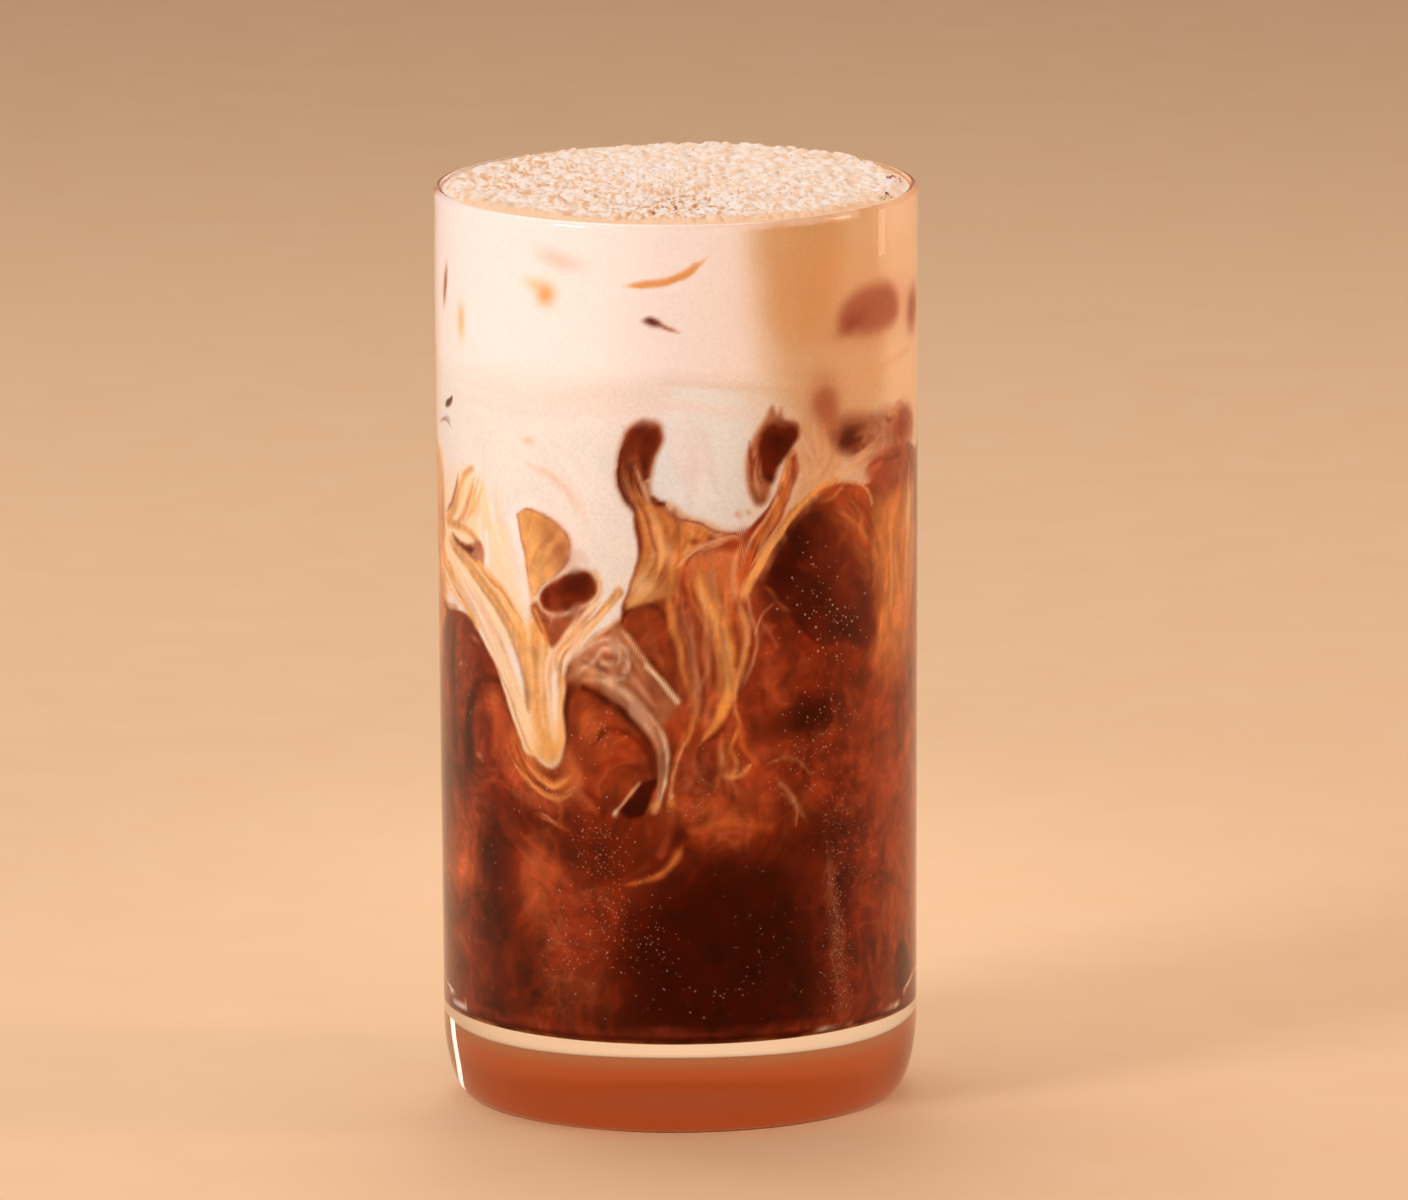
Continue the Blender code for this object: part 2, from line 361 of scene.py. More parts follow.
def paint_grounds(wall):
    """Broad tones under everything else: coffee below, milk above, and at the right of the foam a painted tan-gold
    shade band with a painted lighter strip beyond it.
    """
    wall.blot(MILK, MILK_MASS, soft=0.8)
    wall.blot(WHITE, ((-60, 150), (-60, 117.4), (-20, 117.2), (20, 116.8), (60, 117.4), (60, 150)), soft=5.0,
              strength=0.8)
    # Painted shade: a warm tan-gold band in the foam and upper milk at the right, where the light falls off.
    wall.blot("#E2C6A0", ((13, 150), (12.4, 130), (14, 119), (18, 109), (26, 105), (36, 110), (42, 122), (44, 150)),
              soft=8.0, strength=0.9)
    wall.blot("#DCAA72", ((13.4, 150), (13, 134), (15, 124), (22, 122), (26, 130), (27, 150)), soft=6.0, strength=0.5)
    # Painted light: the foam lighter again at the far right, beyond the shade band.
    wall.blot("#FBEAD8", ((38, 150), (37, 124), (38, 112), (44, 104), (60, 106), (60, 150)), soft=7.0, strength=0.95)
    for colour, s, z, across, up, tilt, strength, edge in (
        (DARK, 0, 14, 80, 16, 0, 0.9, 1), (BLACK, 7, 27, 17, 17, 0, 1.0, 3), (DARK, -33, 34, 5, 17, 0, 0.9, 2),
        (BLACK, -32.5, 38, 2.6, 8, 0, 0.7, 1), (DARK, -46, 52, 9, 5, 0, 0.9, 1), (DARK, -27, 48, 7, 4, 0, 0.8, 1),
        (BRICK, -42, 47, 6, 3.5, 0, 0.7, 1), (RUST, -44.5, 38, 7, 5, 0, 0.9, 1.5), ("#CE5C26", -40.5, 37.4, 4.4, 4.8, 0, 0.75, 1),
        (BRICK, -42, 29.5, 6.5, 5, 0, 0.9, 1.5), (BROWN, -42, 20, 9, 4, 0, 0.6, 1), (RUST, -22.5, 39, 4.4, 7.5, 0, 0.9, 3),
        (BRICK, -18, 32, 7.5, 7, 0, 0.9, 2.5), (GLOW, -22, 35, 2.6, 5, 0, 0.45, 1), (DUSTY, -18, 22, 4.5, 4, 0, 0.3, 1),
        (BROWN, -15.5, 47, 4.5, 7, 0, 0.55, 1), (RUST, 8, 55, 13, 10, 0, 0.8, 2), (RUST, 5, 76, 11, 17, 0, 0.95, 3),
        (BRICK, 16, 73, 9, 11, 0, 0.9, 2), (RUST, 14.5, 72.5, 4, 4, 0, 0.6, 1), (GLOW, 6.5, 50, 6, 3.5, 0, 0.35, 1),
        (BRICK, 27, 58, 16, 12, 0, 0.9, 1.5), (RUST, 33, 64, 6, 6, 0, 0.6, 1), (BRICK, 33, 36, 12, 14, 0, 0.85, 2),
        (BROWN, 33, 22, 10, 6, 0, 0.8, 1.5), (RUST, 48, 40, 11, 26, 0, 0.9, 2), (RUST, 38, 53, 8, 9, 0, 0.7, 1.5),
        (GLOW, 30, 94, 7, 5, 0, 0.5, 1), ("#D9975C", 41, 84, 10, 17, 0, 0.95, 3), (AMBER, 39, 88, 5, 8, 0, 0.5, 1),
        (AMBER, 37, 76, 3, 8, 0, 0.4, 1), (CREAM, 46.5, 92.5, 1.8, 4, -30, 0.75, 1), (CREAM, 48.5, 86, 1.6, 5, 0, 0.4, 1),
        (TAN, 44.5, 71.6, 1.6, 1.8, 0, 0.7, 1), (RUST, 50, 74, 5, 7, 0, 0.7, 1), (DARK, 21, 64.4, 6.0, 3.4, 10, 0.95, 2), (BLACK, 22, 65, 3.4, 1.8, 10, 0.6, 1),
        (DARK, 27, 46, 7, 3.4, 0, 0.75, 1), (DARK, 18, 45, 6, 2, 0, 0.7, 1), (BLACK, 27, 35, 3.2, 7, 14, 0.7, 1),
        (DARK, 33, 25, 2.4, 6, 0, 0.6, 1),
    ):
        wall.spot(colour, s, z, across, up, tilt, strength, edge)


def paint_left_fan(wall):
    """Curved cream and tan sheets at the left, where milk slides down the glass."""
    wall.blot(
        CREAM, ((-56, 101), (-48, 101), (-40, 100), (-33, 98), (-30, 93), (-30, 86), (-26, 79), (-28, 74),
                (-34, 79), (-42, 80), (-50, 79), (-56, 80)), soft=3.0, strength=0.9,
    )
    # Painted light: an amber glow along the far left edge of the wall.
    wall.blot("#DE9655", ((-60, 100.6), (-49, 100.2), (-47.6, 94), (-47, 84), (-48, 78), (-60, 78)), soft=2.2, strength=0.85)
    wall.spot(GLOW, -54, 84, 4, 10, strength=0.85)
    wall.spot(LILAC, -45, 100, 3.5, 5, strength=0.8)
    wall.sheaf((WHITE, "#F0DCCC", LILAC, CREAM), 7, ((-31.6, 103), (-31.4, 95), (-29.6, 87), (-26.6, 79), (-24.8, 74)),
               count=14, thin=0.5, strength=0.7)
    wall.line(AMBER, (0.9, 1.9), ((-36.6, 100.4), (-39.4, 98), (-42, 94.6), (-45.4, 91)), soft=1.1, strength=0.7)
    wall.line(BROWN, 0.5, ((-41, 99), (-41.7, 96.7), (-43.4, 94.2), (-46.4, 92)), soft=0.7, strength=0.6, taper=0.2)
    wall.sheaf((HONEY, AMBER, WHITE, CREAM, "#D99A5C"), (6, 3), ((-36, 100), (-37.4, 95.6), (-41, 92), (-47, 90)),
               count=13, thin=0.4, strength=0.7)
    wall.sheaf((CREAM, HONEY, ROSE), 3.5, ((-34, 97), (-35, 93), (-37, 90)), count=6, strength=0.6)
    wall.line("#D79552", 1.2, ((-45, 90.6), (-41, 90.9), (-37, 90.3), (-35, 88.8)), soft=1.0, strength=0.75)
    wall.blot(
        DUSTY, ((-43.6, 89.4), (-40, 88.4), (-36.4, 88.8), (-34.6, 89.4), (-33.8, 87.4), (-34.2, 85.2),
                (-37, 86.2), (-41, 87)), soft=1.0, strength=0.9,
    )
    wall.spot("#B98672", -35.4, 87.2, 1.5, 1.2, strength=0.6)
    wall.line(DARK, (0.5, 1.2), ((-43.4, 89), (-41, 88), (-38, 87.7), (-36, 88)), soft=0.9, strength=0.95, taper=0.2)
    wall.line(WHITE, 0.9, ((-33, 91), (-32.9, 87.6), (-33.8, 84.4)), soft=0.7, strength=0.85)
    wall.line(HONEY, 3.6, ((-49, 83.6), (-44, 82), (-39.6, 80.4), (-36, 77.6)), soft=1.6, strength=0.85)
    wall.sheaf((CREAM, AMBER, "#D08A4C", WHITE), 4.4, ((-50, 84), (-45, 82), (-40.6, 80), (-36.6, 77.2)), count=9,
               strength=0.65)
    wall.line("#B4703C", 0.35, ((-46.2, 84.4), (-43.6, 83.6), (-41, 81.8)), soft=0.5, strength=0.7)
    wall.line(GLOW, 0.9, ((-50, 78.4), (-46, 77.7), (-42.5, 78)), soft=1.0, strength=0.5)


BAND = (
    (-46, 86.8), (-41.4, 83.6), (-37, 80.4), (-33.2, 76.6), (-30.2, 72.4), (-27.8, 68), (-25.7, 63.4),
    (-24, 59.6),
)
STRIPE = ((-44, 88), (-38.6, 85.7), (-33, 82.8), (-28.7, 79.3), (-25.7, 75.4), (-24.2, 70.4), (-23.6, 66))
TRUNK = ((-22.6, 79), (-22.2, 74), (-21.9, 68), (-21.4, 62.4), (-20.8, 59))
RIGHT_LIMB = ((-12.6, 86), (-13.2, 82.4), (-16.2, 78.4), (-19.2, 75), (-20.3, 71), (-19.8, 65.6), (-19.2, 60.6))
RIGHT_STRAND = ((-9, 84.6), (-11.8, 80.8), (-15.4, 77), (-18.3, 73.6), (-18.4, 69))


def paint_finger(wall):
    """The longest finger of milk: two sheets that meet and hang down at the left of the front."""
    wall.line(CREAM, 4.6, ((-30, 91), (-29, 85), (-26.5, 79), (-24.8, 74)), soft=1.8, strength=0.6)
    wall.line(CREAM, (3.0, 3.6), BAND, soft=0.7)
    wall.sheaf((ROSE, WHITE, "#E6C09A", CREAM, "#EBCFA8"), (2.4, 2.8), BAND, count=13, thin=0.45, strength=0.7)
    wall.line("#F3D6A6", (1.0, 3.4), BAND[3:], soft=2.0, strength=0.6)
    wall.line("#D9A76E", (1.8, 2.8), STRIPE, soft=1.4, strength=0.9)
    wall.line("#B8865A", (0.7, 1.0), ((-43, 87), (-38, 84.6), (-33.6, 82), (-30, 78.6), (-27, 74.6), (-25.2, 70), (-24.2, 65)),
              soft=0.9, strength=0.7)
    wall.sheaf(("#A8784C", AMBER, CREAM, "#B8834F", HONEY), (2.2, 2.8), STRIPE, count=10, thin=0.5, soft=0.8, strength=0.6)
    wall.line(HONEY, 1.2, ((-35, 85.8), (-30.6, 83), (-26.8, 79), (-24.6, 75)), soft=0.9, strength=0.8)
    wall.sheaf((CREAM, AMBER, "#C98450"), 2.2, ((-35, 86), (-30.6, 83.2), (-26.8, 79.2), (-24.2, 75)), count=7,
               thin=0.26, strength=0.65)
    wall.line("#EDC183", (3.4, 4.8), ((-23, 77), (-22.4, 71), (-21.8, 65), (-21, 60.4)), soft=1.6)
    wall.line("#D8954E", (2.2, 1.4), TRUNK, soft=2.0, strength=0.65)
    wall.sheaf(("#DC9C5C", CREAM, "#EAB070", "#CA884A", HONEY), (2.6, 3.8), TRUNK, count=12, thin=0.5, soft=0.8,
               strength=0.55)
    wall.line(CREAM, 1.9, ((-25.6, 65), (-24.3, 61.2), (-22.7, 59)), soft=1.2, strength=0.7)
    wall.line(MILK, 2.2, ((-9.6, 87), (-10.4, 83.6), (-13.4, 80), (-17, 76.6)), soft=0.9)
    wall.line("#F5D9AC", (1.7, 1.8), RIGHT_LIMB, soft=0.8)
    wall.sheaf((WHITE, HONEY, ROSE, "#D9A468"), 1.8, RIGHT_LIMB, count=8, thin=0.25, strength=0.7)
    wall.line("#DDA264", (1.6, 0.9), RIGHT_STRAND, soft=0.7, strength=0.95)
    wall.sheaf((CREAM, "#B8743C", HONEY, WHITE, "#C4834A"), (3.4, 1.6), RIGHT_STRAND, count=12, thin=0.26, strength=0.75)
    wall.line(CREAM, 0.7, ((-8.6, 80), (-12, 77.6), (-15.6, 74.8), (-17.6, 71.6), (-17.9, 66)), soft=0.5, strength=0.8)
    wall.line(WHITE, 0.7, ((-19.6, 72), (-19.6, 67), (-19, 62.6)), soft=0.9, strength=0.7, taper=0.2)
    wall.line(HONEY, 1.3, ((-18, 70), (-18.2, 65), (-18.5, 60.6), (-19.8, 58.2)), soft=0.8, strength=0.8)
    wall.spot("#E6AC62", -21, 58.6, 3.0, 2.6, tilt=30, strength=0.85)
    wall.line("#B06030", 0.35, ((-36, 75.8), (-32, 71.6), (-29.8, 69.2), (-27.8, 66.1), (-26.3, 62.8), (-25.1, 59.8),
                                (-23.4, 57.5)), soft=0.8, strength=0.4)


def paint_left_pocket(wall):
    """Brick-red coffee behind the finger, with a soft glow round the finger's tip."""
    wall.blot(
        "#812C13", ((-50, 58), (-49, 66), (-46, 73.6), (-42, 76.8), (-38.2, 77), (-35.2, 74.6), (-32.2, 71.2),
                    (-29.9, 68.9), (-28, 65.8), (-26.5, 62), (-24.5, 57), (-28, 52), (-36, 53), (-46, 54)),
        soft=1.2, strength=0.9,
    )
    # Painted light: an amber glow along the far left edge of the wall.
    wall.line(GLOW, 5.0, ((-58, 60), (-54, 68), (-50.5, 76)), soft=3.5, strength=0.75)
    wall.line(DARK, (1.2, 2.2), ((-43.6, 74.4), (-44.2, 69), (-44.6, 64), (-43.6, 57)), soft=1.8, strength=0.9)
    wall.line(DARK, (0.6, 3.4), ((-30.6, 68.4), (-34.4, 68.3), (-36.8, 66), (-38.2, 62), (-38.8, 55)), soft=1.8,
              strength=0.9)
    wall.line(BLACK, 1.4, ((-37.6, 65), (-39, 60.6), (-38.8, 56)), soft=1.5, strength=0.8)
    wall.spot(BLACK, -44.4, 68.5, 0.9, 3.0, strength=0.6)
    wall.spot(RUST, -40.4, 70.6, 2.6, 5, tilt=16, strength=0.35)
    wall.spot(GLOW, -31.6, 65.8, 1.9, 1.5, strength=0.8)
    wall.spot(RUST, -29, 61, 2.6, 5, tilt=20, strength=0.7)
    wall.curls((GLOW, BROWN, "#B4583A", DARK), -31.5, 61.5, 4.4, 5, 9, size=2.2, strength=0.35)
    wall.curls(("#A8482C", DARK, "#B85C40"), -40, 69, 4.5, 7, 9, size=2.2, strength=0.3)
    wall.spot(TAN, -36.6, 74.1, 1.1, 0.4, tilt=-15, strength=0.5)
    wall.spot(TAN, -41.1, 69.4, 1.0, 0.35, tilt=20, strength=0.5)
    wall.spot(TAN, -35.6, 56, 0.9, 0.5, strength=0.6)
    wall.line(RUST, 5.0, ((-30.5, 63), (-28.6, 57.5), (-25, 53), (-21, 51.6), (-17.4, 53.4), (-15.4, 58)),
              soft=2.6, strength=0.8)
    wall.line(GLOW, 2.4, ((-27.4, 60), (-25.2, 56), (-22.6, 53.6), (-19.5, 53), (-16.8, 55.2), (-15.4, 59)),
              soft=1.8, strength=0.8)
    wall.line(AMBER, 1.3, ((-24.8, 56.4), (-22.4, 54.2), (-19.6, 53.5), (-17.2, 55)), soft=1.2, strength=0.85, taper=0.25)
    wall.sheaf((HONEY, AMBER, BRICK, GLOW, BROWN), (3.6, 3.0),
               ((-28.4, 60), (-25.6, 56), (-22.4, 53.2), (-19.4, 52.6), (-16.6, 54.8), (-15, 58.4)), count=14,
               thin=0.3, strength=0.65)
    wall.curls((GLOW, DARK, AMBER, BROWN), -20, 48.4, 7, 3.4, 8, size=2.6, strength=0.3)
    # Painted light: more of the amber glow at the far left edge.
    wall.line(AMBER, 2.0, ((-57, 72), (-52, 73), (-48.5, 76)), soft=2.4, strength=0.6)
    wall.line(GLOW, 0.5, ((-23.4, 48.9), (-20, 47.9), (-17, 46.6)), soft=0.5, strength=0.9, taper=0.3)
    wall.line(TAN, 0.25, ((-23, 49.2), (-21, 48.7), (-19.4, 47.6)), soft=0.35, strength=0.7, taper=0.3)


def paint_islands(wall):
    """An amber island, a dark island under it, and the brown wedge that runs from them into the finger."""
    wall.blot(WHITE, AMBER_ISLAND, soft=1.6, grow=1.8, strength=0.7)
    wall.line("#A45A34", 0.5, (*AMBER_ISLAND, AMBER_ISLAND[0]), soft=0.5, strength=0.85)
    wall.blot("#DDA666", AMBER_ISLAND, soft=0.7, grow=-0.1)
    wall.spot("#B26C42", -18.6, 90.6, 1.9, 3.4, tilt=20, strength=0.9)
    wall.spot("#D08A4C", -21.4, 94, 2.6, 1.2, tilt=-20, strength=0.6)
    wall.spot(HONEY, -23.4, 88.6, 1.3, 3, tilt=-8, strength=0.8)
    wall.line(HONEY, 1.0, ((-18.2, 92.6), (-20.6, 89.6), (-22.6, 86.4), (-23.4, 83.4)), soft=1.0, strength=0.7)
    wall.line("#C0794A", 0.4, ((-17.6, 92.4), (-20, 91.4), (-22.4, 89.4), (-23.8, 87)), soft=0.7, strength=0.5, taper=0.2)
    wall.line("#E8BE84", 1.2, ((-23.8, 85), (-23.4, 82), (-22.8, 79)), soft=1.2, strength=0.8)
    wall.blot(
        "#8C4A2A", ((-23.8, 80.8), (-21.8, 81.8), (-18, 80.6), (-13.8, 83), (-14.6, 80.6), (-17.6, 77.8),
                    (-19.8, 74.8), (-21.4, 76.4), (-22.8, 78.4)), soft=0.8,
    )
    wall.sheaf((AMBER, DARK, TAN, BROWN), 4, ((-21.6, 81.4), (-20.6, 79), (-20, 76.4)), count=8, thin=0.24, strength=0.6)
    wall.line("#D8924E", 0.7, ((-23, 80.4), (-21.8, 78), (-20.7, 75)), soft=0.7, strength=0.8)
    wall.blot("#E6C6A6", DARK_ISLAND, soft=0.9, grow=0.9, strength=0.8)
    wall.blot("#7C3216", DARK_ISLAND, soft=0.6, grow=0.3)
    wall.blot("#5E1C08", DARK_ISLAND, soft=0.9, grow=-0.2, strength=0.95)
    wall.spot(BLACK, -16.2, 84.6, 2.2, 1.1, tilt=28, strength=0.7)
    wall.spot(BRICK, -19.4, 82, 1.8, 0.7, tilt=28, strength=0.6)
    wall.line(TAN, 0.5, ((-12.6, 87.2), (-11.9, 85), (-12.8, 83)), soft=0.6, strength=0.7)
    wall.blot("#E3CDBF", ((-16.8, 90.6), (-14.6, 90.2), (-13.8, 88.2), (-16, 88.2), (-17, 89)), soft=1.0, strength=0.6)
    wall.spot(TAN, -23.8, 106.4, 1.2, 0.6, tilt=15, strength=0.5)
    wall.line("#EBCDB4", 1.6, ((-24, 102.8), (-19.6, 101.6), (-15.8, 98.6), (-14, 95)), soft=1.8, strength=0.8, taper=0.3)
    wall.line("#E0B48C", 0.6, ((-21, 102.4), (-17.4, 100.4), (-14.8, 97.4)), soft=1.0, strength=0.7, taper=0.3)
    wall.sheaf(("#F0E2D8", WHITE, LILAC), 6, ((-27, 108), (-20, 104.6), (-13, 99), (-11, 93)), count=10, thin=0.7,
               soft=0.9, strength=0.4)


def paint_lobe(wall):
    """The round white lobe between two dark pockets, with the pockets' streaks."""
    wall.blot(
        "#EEF6F6", ((-3.4, 104), (-2.6, 99.5), (0.2, 96.7), (3.2, 95.8), (5.4, 94.6), (8.2, 93.8), (10.6, 95),
                (10.4, 99), (10, 104), (11, 110), (8, 115), (0, 115)), soft=2.6, strength=0.9,
    )
    wall.sheaf((WHITE, "#EEE0D8", LILAC, "#E4DAD8"), 7, ((-1, 113), (1.6, 107), (3.6, 100), (6, 95.6)), count=12, thin=0.9,
               soft=1.2, strength=0.4)
    wall.spot(WHITE, 0.6, 106, 2.0, 5, strength=0.5)
    wall.line(TAN, 1.6, ((-1.6, 97.8), (1, 95.6), (4, 94.6), (6, 93.2)), soft=1.0, strength=0.8)
    wall.line(BROWN, 0.28, ((-2.2, 98.1), (-1, 96.4), (0.6, 95.5), (3.4, 95), (5, 93.9), (8, 93.1), (10.4, 93.6)),
              soft=0.5, strength=0.65)
    wall.spot(DARK, -2.3, 98.1, 0.6, 0.5, strength=1.0, edge=2)
    wall.spot(GLOW, 9.1, 96.2, 0.6, 0.4, strength=0.6)
    wall.spot(GLOW, 10.6, 96.4, 0.4, 0.3, strength=0.5)
    wall.blot(DUSTY, POCKET_A, soft=1.0, grow=0.5, strength=0.6)
    wall.blot("#8A4226", POCKET_A, soft=0.7)
    wall.blot(
        "#66240F", ((-4.8, 110.6), (-3.2, 110), (-2.8, 108.2), (-4, 105.4), (-4.4, 102.6), (-5, 101.6), (-5.4, 105),
               (-7, 105.4), (-8.6, 104.2), (-8, 107), (-6.6, 109.6)), soft=1.1, strength=0.95,
    )
    wall.spot(BLACK, -4.9, 108.4, 1.3, 1.6, tilt=10, strength=0.35)
    wall.line(DARK, 0.4, ((-8.2, 107), (-8.9, 104), (-8.6, 101.4), (-7.3, 98.5), (-5.5, 95.8), (-4.3, 93)), soft=0.6,
              strength=0.9, taper=0.1)
    wall.sheaf((AMBER, DARK, TAN, "#A05A34", BROWN), (2.2, 1.4),
               ((-7.8, 104.4), (-6.9, 101), (-5.3, 97.2), (-4, 93.6), (-3.4, 90)), count=11, thin=0.26, strength=0.8)
    wall.line(TAN, 0.5, ((-6.4, 104), (-5.6, 102.4), (-5, 100.6), (-4.3, 98.2)), soft=0.7, strength=0.8, taper=0.2)
    wall.line(TAN, 0.7, ((-4.9, 101.4), (-4.2, 98.6), (-3.2, 95.2)), soft=0.7, strength=0.7)
    wall.spot(TAN, -4.3, 101.9, 0.5, 0.35, strength=0.9)
    wall.spot(TAN, -8.1, 109.8, 0.35, 0.25, strength=0.5)
    wall.blot(DUSTY, POCKET_B, soft=1.4, strength=0.95)
    wall.blot(
        DARK, ((13.6, 109.5), (15.2, 110.2), (17.4, 109.6), (19, 108.1), (18, 106.6), (17, 104.6), (15.8, 103),
               (14.8, 100.8), (13.2, 102), (12.6, 105), (12.6, 107.6)), soft=1.4, strength=0.95,
    )
    wall.spot(BLACK, 15, 107, 1.7, 1.6, strength=0.5)
    wall.line("#8A4A34", 0.8, ((14.4, 111.6), (15.6, 109.6), (18.4, 109.4)), soft=0.9, strength=0.6)
    wall.sheaf(("#B87A60", DARK, TAN, BROWN, DARK), 2.6, ((11.9, 107.4), (11.6, 103), (12.6, 98.4)), count=9, thin=0.28,
               strength=0.7)
    wall.blot(RUST, ((18.3, 105.6), (19, 103), (18.2, 99.8), (16.8, 96.8), (15.6, 98.6), (16.4, 102), (17.3, 104.5)),
              soft=0.9, strength=0.95)
    wall.line(HONEY, 0.5, ((19.2, 106.4), (17.7, 104.4), (16.8, 102), (15.8, 99)), soft=0.5, strength=0.8, taper=0.15)
    wall.sheaf((TAN, BRICK, AMBER), 2.2, ((17.8, 105), (17.2, 101), (16, 97)), count=7, thin=0.24, strength=0.6)


def paint_amber_gap(wall):
    """Amber below the first pocket, and the curved red-brown lines under the lobe."""
    wall.blot("#D98F4C", ((-5.6, 97), (-3, 97.6), (0.4, 95.2), (4.6, 93.9), (3, 90.4), (0.4, 88.6), (-0.4, 84.4),
                          (-3, 83.2), (-6.6, 81.6), (-7.8, 83), (-6.2, 87.6), (-5, 92)), soft=1.2, strength=0.95)
    wall.spot(CREAM, -5.4, 85.4, 1.4, 2.4, tilt=-30, strength=0.6)
    wall.spot(HONEY, -2.4, 88.6, 1.6, 1.2, strength=0.8)
    wall.spot(HONEY, -6.2, 82.6, 1.4, 1.2, strength=0.8)
    wall.sheaf(("#A8582C", GOLD, AMBER, "#C98848", RUST, HONEY), (3.4, 3.0),
               ((-4.2, 99), (-2.9, 94.6), (-2.6, 90), (-4, 86.4), (-7, 82)), count=14, thin=0.4, soft=0.7, strength=0.7)
    wall.sheaf(("#B86C34", HONEY, "#984A22", AMBER), (4.2, 2.2),
               ((1.4, 95.8), (0.6, 92), (-0.4, 88), (-0.9, 84), (-0.6, 80)), count=12, thin=0.4, soft=0.7, strength=0.65)
    wall.spot("#F2C48A", -1.6, 90.6, 0.9, 2.2, tilt=8, strength=0.7)
    wall.spot("#F2C48A", -4.4, 84.6, 1.6, 1.2, tilt=40, strength=0.7)
    wall.line(RUST, 0.5, ((-5.6, 98.4), (-4.2, 95), (-3, 90.8)), soft=0.6, strength=0.75)
    wall.line("#8C4A24", 0.5, ((-0.6, 97), (0, 94), (-0.4, 91)), soft=0.9, strength=0.6)
    wall.blot("#B4562C", ((0.6, 88.4), (3, 90.6), (6.4, 92.8), (10.6, 93.8), (13.6, 96.6), (17, 97.6), (15.6, 93.4),
                          (11.8, 89.6), (9.8, 86.2), (6, 85.4), (2, 84.6), (0, 85.4)), soft=1.0, strength=0.9)
    wall.line("#84341A", 1.1, ((3, 89.6), (6, 90.6), (9, 91), (11.6, 92.2)), soft=1.1, strength=0.8)
    wall.sheaf((TAN, BROWN, ROSE, AMBER), 2.6, ((-0.4, 88), (2.4, 90.2), (6, 91.4), (10.6, 92.4)), count=11, thin=0.24,
               strength=0.7)
    wall.line(TAN, 0.35, ((0, 88.4), (2.6, 90.6), (6, 92.3), (9.4, 92.6)), soft=0.4, strength=0.75)
    wall.spot(BRICK, 2.4, 92.1, 0.9, 0.5, tilt=12, strength=0.85)
    wall.sheaf((AMBER, BRICK, TAN, GLOW, BROWN, HONEY), (2.4, 3.2),
               ((17.4, 100), (15.2, 96.2), (12.6, 93), (10.6, 89.6), (9.4, 85)), count=16, thin=0.3, strength=0.8)


def paint_right_stream(wall):
    """The tan sheet that runs down the left side of the big ice cube, and the folds round it."""
    wall.blot("#E9C6A0", ((19.6, 110), (24, 109), (27, 104), (26, 100), (21, 97.8), (18.2, 94.6), (16.4, 93),
                          (17.6, 97), (18.8, 101), (18.8, 105)), soft=1.8, strength=0.9)
    wall.sheaf((CREAM, ROSE, TAN, WHITE), (2.4, 5), ((25.4, 100.8), (22, 103), (20.6, 107), (20.6, 112)), count=11,
               thin=0.4, soft=0.6, strength=0.6)
    wall.line(HONEY, (0.6, 1.6), ((25.6, 100), (20.6, 97.7), (17, 94), (13.6, 90.3), (11.6, 87), (10, 84)), soft=0.7)
    wall.sheaf((CREAM, AMBER, "#C87C40", TAN), (1.0, 2.4), ((24, 99.8), (19.4, 97), (15.6, 92.8), (12.2, 88.6), (9.8, 84)),
               count=10, thin=0.26, strength=0.7)
    wall.blot("#B65A30", ((22, 98.4), (25.6, 99.3), (29, 98.7), (31.6, 97.8), (33, 95), (33.8, 90), (32.4, 85), (28, 92),
                          (25.4, 96.4)), soft=1.1, strength=0.9)
    wall.sheaf((TAN, BROWN, AMBER), 4, ((25, 98), (29.6, 94.4), (32.2, 89.6), (34, 84)), count=9, thin=0.3, strength=0.5)
    wall.line(TAN, 0.5, ((21.8, 97.4), (24.4, 97.2), (27, 98.6)), soft=0.6, strength=0.6)
    wall.line(TAN, 0.5, ((25.4, 99.9), (28.6, 99.4), (31.2, 98.6), (32.8, 96.8), (33.6, 95)), soft=0.5)
    wall.blot("#A85238", ((32.6, 101.4), (37, 102.8), (44, 103), (46, 99), (43, 96.4), (36, 96.2), (33.6, 98)),
              soft=2.4, strength=0.85)
    wall.line(DARK, 0.5, ((33, 101.2), (36, 101.6), (39, 101), (43.4, 101.8)), soft=0.8, strength=0.8, taper=0.2)
    wall.blot("#A86A50", ((24.6, 107), (28, 110), (34, 109), (40, 109), (48, 107), (47, 102.6), (38, 103.4), (30, 102.8)),
              soft=3.0, strength=0.75)
    wall.spot("#5E2412", 29.2, 105.8, 3.6, 2.4, tilt=-6, strength=1.0, edge=1.4)
    wall.spot(BLACK, 28.4, 106, 1.8, 1.3, strength=0.35)
    wall.spot("#9C4A30", 23.8, 111.6, 2.4, 3.6, tilt=12, strength=0.7)
    wall.spot("#A03A1A", 43.6, 105.6, 3.8, 2.8, strength=0.9, edge=1.3)
    wall.curls((TAN, BROWN, "#C48A6C"), 36, 106, 7, 2.4, 12, size=2.2, strength=0.45)
    wall.sheaf((CREAM, TAN, ROSE), 3.4, ((25.6, 101.6), (29.6, 102.2), (34, 103.6), (38, 104)), count=9, thin=0.35,
               strength=0.7)
    wall.line(CREAM, 0.8, ((25.6, 101), (29.6, 101), (32.6, 101.6)), soft=1.0, strength=0.7)


